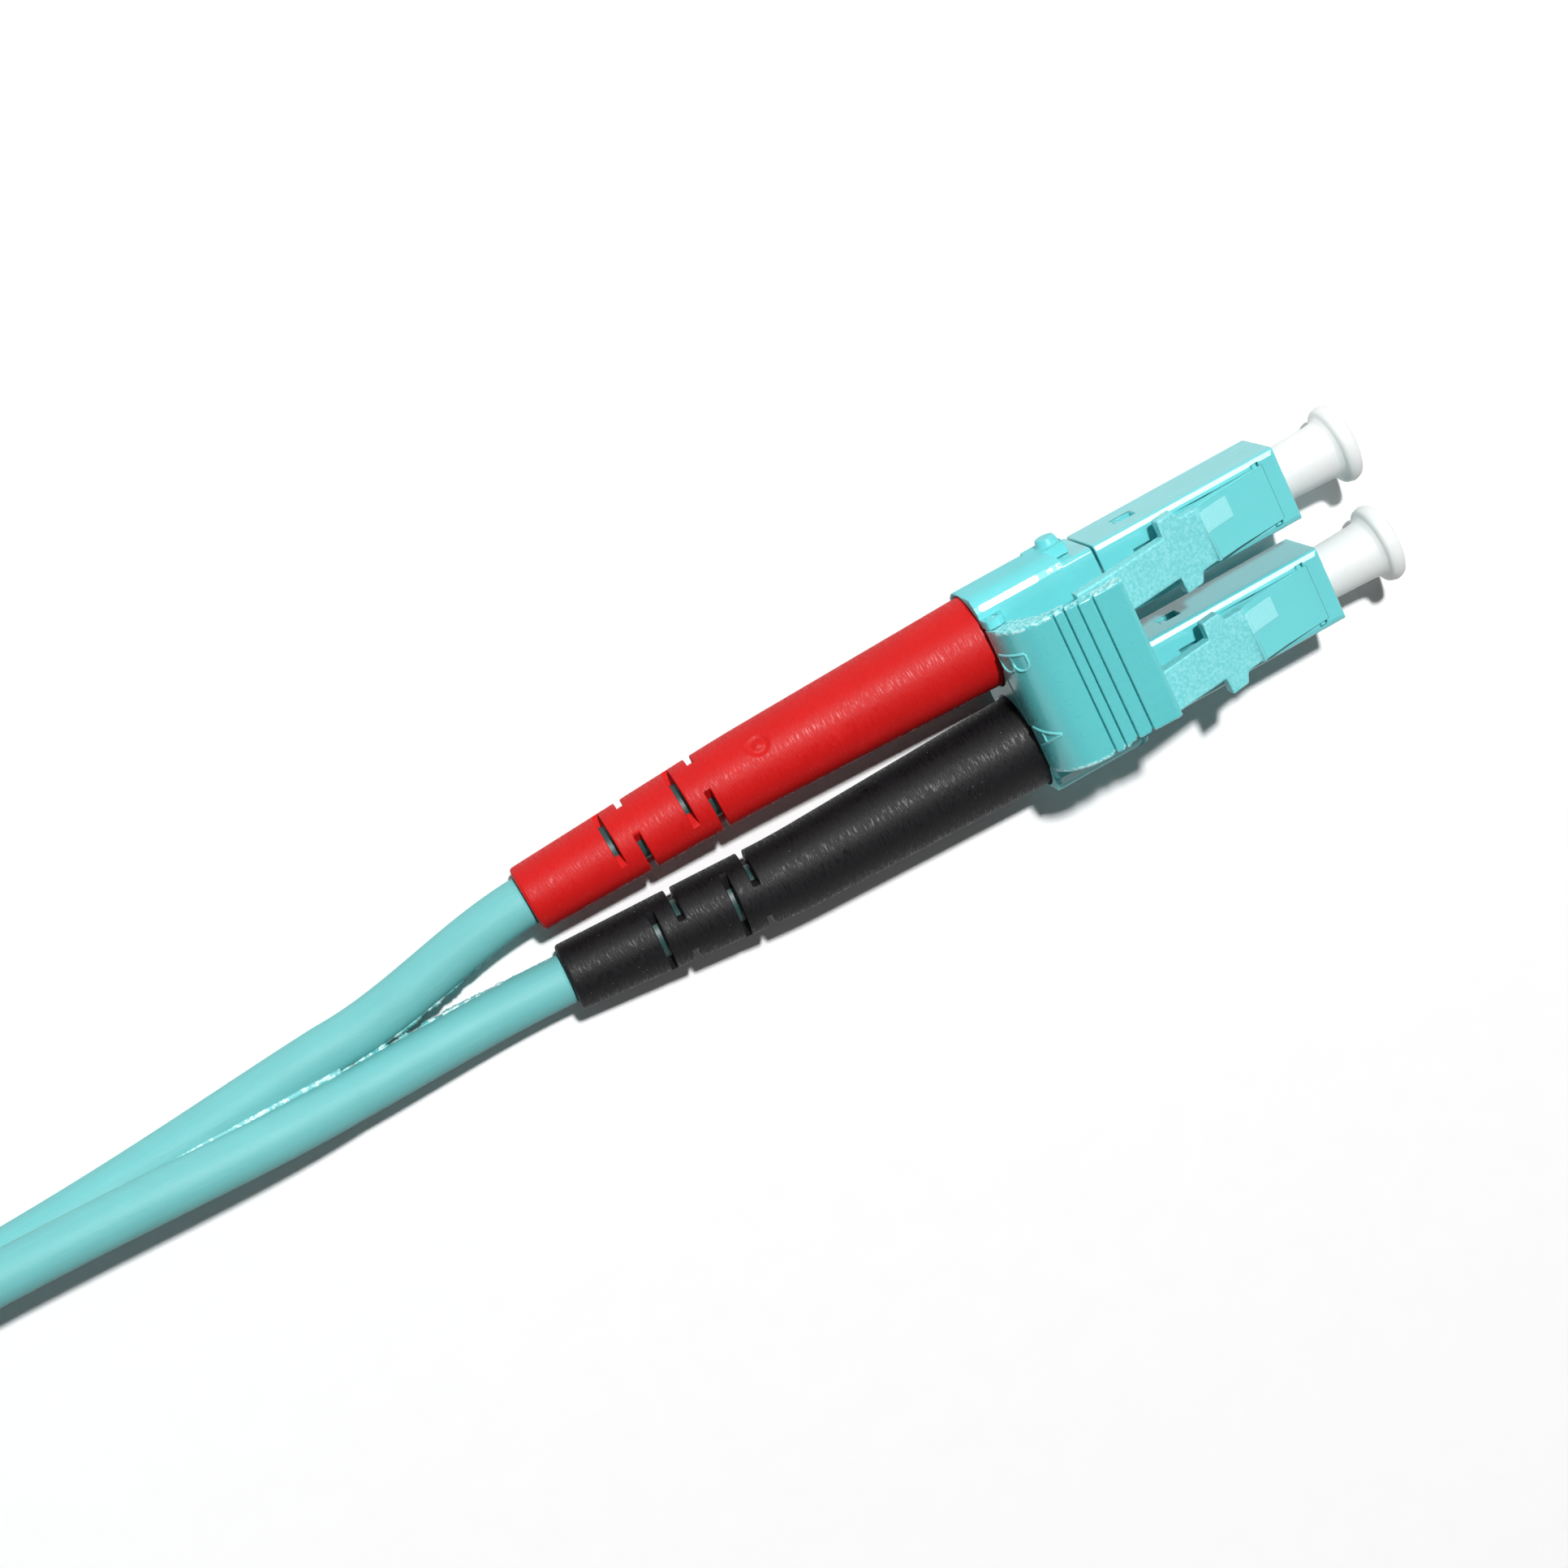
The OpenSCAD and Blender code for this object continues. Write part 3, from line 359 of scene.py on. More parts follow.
def satin_rubber(name, colour, lint, sheen):
    """Dull moulded rubber: a leathery grain that runs round the boot, with smoother crests
    that sparkle where the lamp glances off them, dull patches where it was handled and
    a few specks of dust. sheen is how much paler the worn patches are."""
    material, tree = new_finish(name)
    cloud = tree.noise(200.0, 4.0)
    grain = tree.noise(5200.0, 3.0, 0.6, stretch=(2.5, 0.32, 0.32))
    crest = grain.step(0.47, 0.66)
    fine = tree.noise(9000.0, 2.0)
    wear = tree.noise(800.0, 5.0, 0.65)
    dust = tree.cells(3400.0).step(0.09, 0.03) * tree.noise(700.0, 2.0).step(0.52, 0.62)
    base = tree.mix(cloud, tone(colour, 0.9), tone(colour, 1.08))
    base = tree.mix(wear.step(0.55, 0.8) * 0.5, base, tone(colour, 1.2, (sheen,) * 3))
    base = tree.mix(dust * lint, base, (0.7, 0.7, 0.7, 1.0))
    rough = wear * 0.1 + 0.54 - crest * 0.25
    tree.principled(base, rough, grain + fine * 0.2 + wear * 0.5, 22 * UM, {"IOR": 1.34})
    return material


def cap_plastic(name, colour):
    """Soft natural polyethylene of the dust caps: milky, waxy and a little see-through."""
    material, tree = new_finish(name)
    cloud = tree.noise(330.0, 4.0)
    fine = tree.noise(7000.0)
    scuff = tree.noise(1500.0, 4.0, 0.6, stretch=(1.0, 0.3, 0.3))
    base = tree.mix(cloud, tone(colour, 0.95), tone(colour))
    base = tree.mix(scuff.step(0.6, 0.75) * 0.3, base, tone(colour, 0.9, (0.0, 0.01, 0.0)))
    milk = {
        "Subsurface Weight": 0.55,
        "Subsurface Radius": (1.0, 0.95, 0.9),
        "Subsurface Scale": 1.2 * MM,
    }
    rough = scuff * 0.15 + fine * 0.06 + 0.28
    tree.principled(base, rough, fine * 0.4 + scuff, 7 * UM, {"IOR": 1.5, **milk})
    return material


def cord_jacket(name, colour):
    """Extruded jacket: fine streaks along the cord and slow clouds, on the piece's
    own map, whose u is centimetres along the cord and v the share round it."""
    material, tree = new_finish(name)
    where = tree.add("ShaderNodeUVMap", {"uv_map": "CordMap"})
    streak = tree.noise(1.0, 5.0, 0.6, where, (1.2, 26.0, 1.0))
    haze = tree.noise(1.0, 4.0, 0.6, where, (3.0, 5.0, 1.0))
    grain = tree.noise(9000.0)
    base = tree.mix(haze, tone(colour, 0.92), tone(colour, 1.07))
    base = tree.mix(streak.step(0.5, 0.7) * 0.3, base, tone(colour, 1.12, (0.02,) * 3))
    rough = streak * 0.12 + grain * 0.1 + 0.46
    depth = {**AQUA_DEPTH, "Subsurface Weight": 0.1, "Subsurface Scale": 0.8 * MM}
    tree.principled(base, rough, streak * 0.8 + grain * 0.8, 12 * UM, {"IOR": 1.42, **depth})
    return material


def torn_web(name, colour):
    """Stretched and torn edge of the web: paler than the jacket, in broken patches."""
    material, tree = new_finish(name)
    patch = tree.noise(2600.0, 5.0, 0.7)
    grain = tree.noise(8000.0)
    pale = tone(colour, 1.0, (0.5, 0.34, 0.33))
    base = tree.mix(patch.step(0.48, 0.55), tone(colour, 1.05), pale)
    tree.principled(base, patch * 0.2 + 0.4, grain + patch, 30 * UM, {"IOR": 1.5})
    return material


def bright_metal(name, colour, rough, brushed):
    """Bare metal with turning marks across its axis and slightly uneven gloss."""
    material, tree = new_finish(name)
    turned = tree.noise(1800.0, 4.0, 0.6, stretch=(brushed, 0.4, 0.4))
    base = tree.mix(tree.noise(500.0), tone(colour, 0.9), tone(colour, 1.05))
    tree.principled(base, turned * 0.15 + (rough - 0.07), turned, 4 * UM, {"Metallic": 1.0})
    return material


def zirconia(name):
    """Polished white ceramic with a faint warm cloud."""
    material, tree = new_finish(name)
    cloud = tree.noise(600.0, 4.0)
    base = tree.mix(cloud, (0.86, 0.85, 0.82, 1.0), (0.92, 0.91, 0.89, 1.0))
    tree.principled(base, cloud * 0.1 + 0.08, cloud, 2 * UM, {"IOR": 2.1})
    return material


# Surfaces ----------------------------------------------------------------


def grid_faces(rings, around):
    """Quads between neighbouring rings of points, each ring closed on itself."""
    i = np.arange(rings - 1)[:, None]
    j = np.arange(around)[None, :]
    k = (j + 1) % around
    a, b, c, d = i * around + j, i * around + k, (i + 1) * around + k, (i + 1) * around + j
    return np.stack([a, b, c, d], -1).reshape(-1, 4)


def make_mesh(name, points, faces, caps, material):
    """A mesh object at the origin from points in millimetres, quads and end caps."""
    mesh = bpy.data.meshes.new(name)
    corners = [list(map(int, f)) for f in faces] + [list(map(int, c)) for c in caps]
    mesh.from_pydata((np.asarray(points) * MM).tolist(), [], corners)
    mesh.polygons.foreach_set("use_smooth", [True] * len(mesh.polygons))
    obj = bpy.data.objects.new(name, mesh)
    bpy.context.scene.collection.objects.link(obj)
    mesh.materials.append(material)
    return obj


def read(items, attribute, width=1, kind=float):
    """An attribute of every item of a mesh, as an array with width numbers a row."""
    values = np.empty(len(items) * width, dtype=kind)
    items.foreach_get(attribute, values)
    return values.reshape(-1, width) if width > 1 else values


def face_out(obj):
    """Turns the faces of closed shells outwards."""
    shape = bmesh.new()
    shape.from_mesh(obj.data)
    bmesh.ops.recalc_face_normals(shape, faces=shape.faces)
    shape.to_mesh(obj.data)
    shape.free()


def distances(line):
    """How far along a line each of its points is."""
    return np.concatenate([[0], np.cumsum(np.linalg.norm(np.diff(line, axis=0), axis=1))])


def joined(parts):
    """One set of points and faces from several (points, faces, caps) parts."""
    points, faces, caps, start = [], [], [], 0
    for p, f, c in parts:
        points.append(p)
        faces.append(np.asarray(f) + start)
        caps += [[int(k) + start for k in cap] for cap in c]
        start += len(p)
    return np.concatenate(points), np.concatenate(faces), caps


def axes_along(line):
    """Tangent, sideways and upward unit vectors at each point of a line that is
    never vertical: sideways is level, and up stands square on the other two."""
    tangent = np.gradient(line, axis=0)
    tangent /= np.linalg.norm(tangent, axis=1)[:, None]
    side = np.stack([-tangent[:, 1], tangent[:, 0], np.zeros(len(line))], 1)
    side /= np.linalg.norm(side, axis=1)[:, None]
    return tangent, side, np.cross(tangent, side)


def closed_rings(points, rings, around):
    """Points, faces and caps of rings of points that follow each other, each closed on
    itself, with a flat cap at both ends."""
    last = (rings - 1) * around
    caps = [range(around - 1, -1, -1), range(last, last + around)]
    return points.reshape(-1, 3), grid_faces(rings, around), caps


def tube(line, radius, around):
    """A round tube: each ring is the line's point plus radius times
    (side * cos t + up * sin t)."""
    _, side, up = axes_along(line)
    t = np.linspace(0, 2 * math.pi, around, endpoint=False)
    ring = side[:, None] * np.cos(t)[None, :, None] + up[:, None] * np.sin(t)[None, :, None]
    return closed_rings(line[:, None] + radius * ring, len(line), around)


def swept(line, one, two, section):
    """A section carried along a line: each ring is the point plus section x along
    one plus section y along two. section is (rings, around, 2) or (around, 2)."""
    section = np.broadcast_to(section, (len(line), *np.shape(section)[-2:]))
    points = line[:, None] + section[..., :1] * one[:, None] + section[..., 1:] * two[:, None]
    return closed_rings(points, len(line), section.shape[1])


# Square metres of turned triangle that count as a fold, how far from it the rounding is
# first lessened, how often that is tried, and how many of the tries only halve it.
FOLD_AREA, UNFOLD_REACH, UNFOLD_TRIES, HALVINGS = 2e-9, 0.25 * MM, 12, 5
INSIDE = 1e-6  # share of an edge that a crossing has to be away from its ends
# Edges turned by more degrees than CREASE are rounded, with so many faces across.
CREASE, SEGMENTS = 30.0, 3


def flat_land(points, middle, land):
    """Points (count, 3) in millimetres with one strip of the rounded upper side edges made
    flat, and for each point 1 or 2 where it lies on the strip's upper or lower border.
    The rounding has its centre (cy, cz) off the middle and its radius r. Its angles from
    the top turn from the list turns[0] to turns[1]; between the angles of the strip the
    distance from the centre is r * cos(h) / cos(a - m), with h half the strip's angle
    and m its middle, which is a straight line."""
    cy, cz, r, turns, (low, high) = land
    y, z = np.abs(points[:, 1] - middle[1]) - cy, points[:, 2] - middle[2] - cz
    reach, angle = np.hypot(y, z), np.degrees(np.arctan2(y, z))
    on = (y > -0.003) & (z > -0.003) & (np.abs(reach - r) < 0.05 * r)
    new = np.interp(np.clip(angle, 0, 90), *turns)
    h, m = math.radians(high - low) / 2, (high + low) / 2
    chord = r * math.cos(h) / np.cos(np.radians(new - m))
    reach = np.where((new > low - 0.1) & (new < high + 0.1), chord, reach)
    a = np.radians(new)
    moved = points.copy()
    sign = np.sign(points[:, 1] - middle[1])
    moved[:, 1] = np.where(on, middle[1] + sign * (cy + reach * np.sin(a)), points[:, 1])
    moved[:, 2] = np.where(on, middle[2] + cz + reach * np.cos(a), points[:, 2])
    border = np.where(np.abs(new - low) < 0.2, 1, np.where(np.abs(new - high) < 0.2, 2, 0))
    return moved, border * on


def folded_faces(obj):
    """The corners (count, 3) of each face of the finished shape with triangles that turn
    against it, which is what a face has whose outline crosses itself."""
    held = obj.evaluated_get(bpy.context.evaluated_depsgraph_get())
    mesh = held.to_mesh()
    points = read(mesh.vertices, "co", 3)
    mesh.calc_loop_triangles()
    corners = read(mesh.loop_triangles, "vertices", 3, np.int32)
    owner = read(mesh.loop_triangles, "polygon_index", 1, np.int32)
    normals = read(mesh.polygons, "normal", 3)
    a, b, c = points[corners].transpose(1, 0, 2)
    area = (np.cross(b - a, c - a) * normals[owner]).sum(1) / 2
    folded = np.unique(owner[area < -FOLD_AREA])
    faces = [points[list(mesh.polygons[i].vertices)] for i in folded]
    held.to_mesh_clear()
    return faces


def crossings(face):
    """The points where the outline of a flat face crosses itself, or all its corners if
    it only touches itself."""
    nxt = np.roll(face, -1, axis=0)
    normal = np.cross(face, nxt).sum(0)
    flat = np.delete(face, np.argmax(np.abs(normal)), axis=1)
    step = np.roll(flat, -1, axis=0) - flat
    gap = flat[None] - flat[:, None]
    turn = step[:, None, 0] * step[None, :, 1] - step[:, None, 1] * step[None, :, 0]
    with np.errstate(divide="ignore", invalid="ignore"):
        t = (gap[..., 0] * step[None, :, 1] - gap[..., 1] * step[None, :, 0]) / turn
        u = (gap[..., 0] * step[:, None, 1] - gap[..., 1] * step[:, None, 0]) / turn
    within = (t > INSIDE) & (t < 1 - INSIDE) & (u > INSIDE) & (u < 1 - INSIDE)
    here = np.argwhere(within)
    return face[here[:, 0]] if len(here) else face


def unfold(obj):
    """Halves the rounding of the edges near each place where a face folds, over and over
    until no face does. It reaches further each time, and after the first few times it
    leaves those edges sharp."""
    mesh = obj.data
    ends = read(mesh.edges, "vertices", 2, np.int32)
    start, end = read(mesh.vertices, "co", 3)[ends].transpose(1, 0, 2)
    weights = mesh.attributes["bevel_weight_edge"].data
    size = read(weights, "value")
    along = end - start
    for attempt in range(UNFOLD_TRIES):
        faces = folded_faces(obj)
        if not faces:
            return
        places = np.concatenate([crossings(face) for face in faces])
        away = places[:, None] - start[None]
        share = np.clip((away * along).sum(2) / (along * along).sum(1), 0.0, 1.0)
        away = np.linalg.norm(away - share[..., None] * along, axis=2).min(0)
        reach = UNFOLD_REACH * (1.0 + attempt / 2)
        size = np.where(away < reach, size * (0.5 if attempt < HALVINGS else 0.0), size)
        weights.foreach_set("value", size)
        mesh.update()
        bpy.context.view_layer.update()


def weigh_edges(shape, radius):
    """Gives each sharp edge of a bmesh its radius as a share of the widest, which is
    returned, in millimetres. radius is as for rounded_copy."""
    layer = shape.edges.layers.float.new("bevel_weight_edge")
    limit = math.radians(CREASE)
    sharp = [e for e in shape.edges if e.is_manifold and e.calc_face_angle(0.0) > limit]
    ends = np.array([[v.co[:] for v in e.verts] for e in sharp]) / MM
    middle, along = ends.mean(axis=1), ends[:, 1] - ends[:, 0]
    along /= np.linalg.norm(along, axis=1)[:, None]
    radii = radius(middle, along) if callable(radius) else np.full(len(sharp), float(radius))
    widest = float(radii.max())
    for edge, r in zip(sharp, radii):
        edge[layer] = float(r) / widest
    return widest


def rounded_copy(node, name, material, radius, reshape=None):
    """A copy of a CAD node with its triangles merged, its flat faces whole and its
    sharp edges rounded, so that they catch the light as a moulding's do. radius is in
    millimetres, or a function of the middles (count, 3) and directions (count, 3) of
    the sharp edges, in millimetres, that gives the radius of each. reshape takes the
    points and gives them back moved, with a number other than 0 for each whose edges
    to others so marked stay sharp."""
    source = frame["nodes"][node]
    shape = bmesh.new()
    shape.from_mesh(source.data)
    bmesh.ops.remove_doubles(shape, verts=shape.verts, dist=1e-6)
    flat = math.radians(0.4)
    bmesh.ops.dissolve_limit(shape, angle_limit=flat, verts=shape.verts, edges=shape.edges)
    if reshape:
        points, border = reshape(np.array([v.co[:] for v in shape.verts]) / MM)
        for vert, point in zip(shape.verts, points * MM):
            vert.co = point
        shape.normal_update()
    widest = weigh_edges(shape, radius) if radius else 0.0
    mesh = bpy.data.meshes.new(name)
    shape.to_mesh(mesh)
    shape.free()
    mesh.polygons.foreach_set("use_smooth", [True] * len(mesh.polygons))
    mesh.set_sharp_from_angle(angle=math.radians(CREASE))
    if reshape:
        one, two = border[read(mesh.edges, "vertices", 2, np.int32)].T
        sharp = read(mesh.edges, "use_edge_sharp", 1, bool)
        mesh.edges.foreach_set("use_edge_sharp", sharp | ((one > 0) & (two > 0)))
    mesh.materials.append(material)
    obj = bpy.data.objects.new(name, mesh)
    bpy.context.scene.collection.objects.link(obj)
    if widest:
        bevel = obj.modifiers.new("Rounded edges", "BEVEL")
        bevel.width = widest * MM
        bevel.segments = SEGMENTS
        bevel.limit_method = "WEIGHT"
        bevel.use_clamp_overlap = False
    weighted = obj.modifiers.new("Flat faces stay flat", "WEIGHTED_NORMAL")
    weighted.keep_sharp = True
    if widest:
        unfold(obj)
    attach(obj, body_of(source)[0])
    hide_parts(node)
    return obj


def repaint(node, material):
    """Gives a CAD node that keeps its own shape its finish."""
    for slot in frame["nodes"][node].material_slots:
        slot.material = material


def end_of(end):
    """The point of ENDS as an array."""
    return np.array(ENDS[end])


def front_of(end, s=0):
    """Where the axis of plug s meets its front, or the point halfway between both."""
    return end_of(end) + [0, s * PITCH / 2, AXIS_Z]


def each_plug():
    """The end, letter, side and front of every plug."""
    for end in ENDS:
        for plug, s in PLUGS:
            yield end, plug, s, front_of(end, s)


def look_of(context):
    """The colours, and the radius of the moulded edges in millimetres."""
    scene = context.scene
    return scene.patch_cord_colours, scene.patch_cord_sizes.edge_radius / MM


def chamfer(middle, land):
    """flat_land as a function of the points alone."""
    return lambda points: flat_land(points, middle, land)


# The cord's route, in millimetres ---------------------------------------------

# The lobes' diameter, half the distance between them, the width over both, and the
# thickness of the web that joins them.
CORD_D = 2.8
HALF_STEP = 1.43
WEB_T = 0.9
# Where the twin cord starts behind the plugs' fronts, its y and its roll in degrees
# there, and the length over which it rolls on edge.
ZIP_X, ZIP_Y, ZIP_ROLL, ROLL_L = 60.0, -0.9, 25.0, 24.0
# The coil: its x, outer radius, straight run, how much the radius shrinks in a turn,
# the radius that the tail ends on, the mean radius of a turn and its number of turns.
COIL_X, LOOP_R, LOOP_RUN, LOOP_STEP, TAIL_R = 111.0, 29.0, 36.0, 4.3, 25.5
MEAN_R, WHOLE_TURNS = 25.6, 3
# Height of the coil's second layer above its first, and where the twin cord ends.
LAYER_H, TAIL_END_X = 6.16, -146.0
COIL_Y = ZIP_Y + LOOP_R
# Where the boots bend, their tails' length, and how many degrees those droop and part.
BEND_X, BOOT_TAIL_L, DROOP, TOE = 33.85, 13.2, 3.3, 2.8
# Points round a lobe, along a leg and along a leg's torn edge.
CORD_AROUND, LEG_STEPS, TORN_STEPS = 28, 44, 150


def smooth(t):
    """0 up to 0, 1 from 1 on, and 3t^2 - 2t^3 between them."""
    t = np.clip(t, 0.0, 1.0)
    return t * t * (3 - 2 * t)


def edge_z(roll):
    """Height of the twin cord's middle when its upper lobe stands roll degrees up."""
    return CORD_D / 2 + HALF_STEP * np.sin(np.radians(roll))


def tail_dir(s):
    """Unit vector along the bent tail of boot s, away from the plug."""
    a, b = math.radians(DROOP), math.radians(TOE)
    return np.array([-math.cos(a) * math.cos(b), -s * math.cos(a) * math.sin(b), -math.sin(a)])


def tail_end(s):
    """The end of a boot's bent tail, from the middle of the plugs' front."""
    return np.array([-BEND_X, s * PITCH / 2, AXIS_Z]) + BOOT_TAIL_L * tail_dir(s)


def leg_line(s, hand):
    """A leg from the boot to the twin cord: the cubic with both ends' directions,
    p0(2t^3-3t^2+1) + d0(t^3-2t^2+t) + p1(3t^2-2t^3) + d1(t^3-t^2)."""
    roll = math.radians(ZIP_ROLL)
    p0 = tail_end(s)
    p1 = np.array([
        -ZIP_X,
        hand * (ZIP_Y + s * hand * HALF_STEP * math.cos(roll)),
        edge_z(ZIP_ROLL) - s * hand * HALF_STEP * math.sin(roll),
    ])
    length = np.linalg.norm(p1 - p0)
    d0, d1 = length * tail_dir(s), np.array([-length, 0.0, 0.0])
    t = np.linspace(0, 1, LEG_STEPS)[:, None]
    return (p0 * (2 * t**3 - 3 * t**2 + 1) + d0 * (t**3 - 2 * t**2 + t)
            + p1 * (3 * t**2 - 2 * t**3) + d1 * (t**3 - t**2))


def zip_line():
    """The twin cord's middle from the near legs to the far legs, with the roll and
    heading in degrees at each point: a straight lead that rolls on edge, oval turns
    that spiral in and out in two layers, and a last half turn up on to the coil."""
    x = np.concatenate([np.arange(0, 24, 0.4), np.arange(24, 51, 1.5)])
    roll = 90 - (90 - ZIP_ROLL) * np.clip(1 - x / ROLL_L, 0, None) ** 2
    lead = np.stack([-ZIP_X - x, np.full_like(x, ZIP_Y), edge_z(roll), roll, x * 0 + 180], 1)

    round_l = 2 * LOOP_RUN + 2 * math.pi * MEAN_R
    run = LOOP_RUN / round_l
    arc = 0.5 - run
    turns = WHOLE_TURNS + run
    half = np.concatenate([np.linspace(0, run, 12, endpoint=False),
                           run + np.linspace(0, arc, 44, endpoint=False)])
    u = np.concatenate([half + 0.5 * k for k in range(8)])
    u = np.append(u[u < turns - 1e-6], turns)
    r = LOOP_R - LOOP_STEP * np.minimum(u, turns - u)
    w = u - np.floor(u)
    first = w < 0.5
    w = np.where(first, w, w - 0.5)
    on_run = w < run
    a = np.where(on_run, 0.0, math.pi * (w - run) / arc)
    slide = np.where(on_run, LOOP_RUN * w / run, LOOP_RUN)
    sign = np.where(first, 1.0, -1.0)
    cx = np.where(first, -COIL_X - slide, -COIL_X - LOOP_RUN + slide) - sign * r * np.sin(a)
    cy = COIL_Y - sign * r * np.cos(a)
    heading = np.where(first, 180.0, 0.0) - np.degrees(a)
    cz = edge_z(90) + LAYER_H * smooth((u - turns / 2) / 0.36 + 0.5)
    coil = np.stack([cx, cy, cz, np.full_like(u, 90.0), heading], 1)

    a = np.linspace(2.5, 180, 72)
    r = LOOP_R - (LOOP_R - TAIL_R) * smooth((a - 100) / 80)
    up = LAYER_H + (FAR_Z - LAYER_H) * smooth(a / 100)
    roll = 90 - (90 - ZIP_ROLL) * smooth((a - 110) / 75)
    rad = np.radians(a)
    tail = np.stack([-COIL_X - LOOP_RUN - r * np.sin(rad), COIL_Y - r * np.cos(rad),
                     edge_z(roll) + up, roll, 180 - a], 1)
    last = [[TAIL_END_X, COIL_Y + TAIL_R, edge_z(ZIP_ROLL) + FAR_Z, ZIP_ROLL, 0.0]]
    return np.concatenate([lead, coil, tail, last])


def across(zipped):
    """Unit vectors from lobe b to lobe a, and square to it, at each point."""
    roll, head = np.radians(zipped[:, 3:4]), np.radians(zipped[:, 4:5])
    right = np.concatenate([np.sin(head), -np.cos(head), head * 0], 1)
    z = np.array([[0.0, 0.0, 1.0]])
    return (-right * np.cos(roll) + z * np.sin(roll), right * np.sin(roll) + z * np.cos(roll))


# Settings ------------------------------------------------------------------


class PatchCordSizes(bpy.types.PropertyGroup):
    edge_radius: FloatProperty(
        name="Edge radius", description="Radius of the moulded plastic edges",
        default=0.00007, min=0.00001, max=0.0002, unit="LENGTH", precision=6,
    )
    slot_radius: FloatProperty(
        name="Slot edge radius", description="Radius of the edges of the boots' slots",
        default=0.00007, min=0.00001, max=0.0002, unit="LENGTH", precision=6,
    )
    torn_height: FloatProperty(
        name="Torn web", description="Largest height of the torn web on the legs",
        default=0.0002, min=0.0, max=0.0005, unit="LENGTH", precision=6,
    )
    letter_height: FloatProperty(
        name="Channel letters", description="Height of the letters on the trigger",
        default=0.00235, min=0.001, max=0.003, unit="LENGTH", precision=5,
    )


def colour_setting(name, description, default):
    """A colour property with red, green and blue from 0 to 1."""
    return FloatVectorProperty(
        name=name, description=description, default=default, size=3,
        min=0.0, max=1.0, subtype="COLOR",
    )


class PatchCordColours(bpy.types.PropertyGroup):
    body: colour_setting("Plug body", "Plastic of the plug bodies", (0.15, 0.62, 0.65))
    latch: colour_setting("Latch arms", "Plastic of the latch arms", (0.155, 0.635, 0.66))
    clip: colour_setting("Clip", "Plastic of the duplex clip", (0.13, 0.62, 0.65))
    trigger: colour_setting("Trigger", "Plastic of the trigger", (0.11, 0.55, 0.57))
    boot_a: colour_setting("Boot A", "Rubber of boot A", (0.004, 0.004, 0.005))
    boot_b: colour_setting("Boot B", "Rubber of boot B", (0.57, 0.005, 0.005))
    cap: colour_setting("Dust caps", "Plastic of the dust caps", (0.82, 0.85, 0.84))
    cord: colour_setting("Cord", "Jacket of the cord", (0.165, 0.51, 0.515))


class PatchCordStage(bpy.types.PropertyGroup):
    lens: FloatProperty(
        name="Lens", description="Focal length of the camera", default=74.534,
        min=20.0, max=200.0, unit="CAMERA",
    )
    key_power: FloatProperty(
        name="Key lamp", description="Power of the small lamp that casts the shadows",
        default=11.4, min=0.0, max=50.0, unit="POWER",
    )
    glint_power: FloatProperty(
        name="Glint panel", description="Power of the panel that only shows as a reflection",
        default=1.7, min=0.0, max=50.0, unit="POWER",
    )
    ambient: FloatProperty(
        name="Ambient", description="Diffuse light from the white surroundings",
        default=0.1, min=0.0, max=2.0,
    )


# Stage ---------------------------------------------------------------------


def softbox(name, place, target, wide, deep, power):
    """A rectangular area lamp at place that faces target; wide runs along X."""
    lamp = bpy.data.lights.new(name, "AREA")
    lamp.shape, lamp.size, lamp.size_y, lamp.energy = "RECTANGLE", wide, deep, power
    obj = bpy.data.objects.new(name, lamp)
    obj.location = place
    obj.rotation_euler = (Vector(target) - Vector(place)).to_track_quat("-Z", "Y").to_euler()
    bpy.context.scene.collection.objects.link(obj)
    return obj


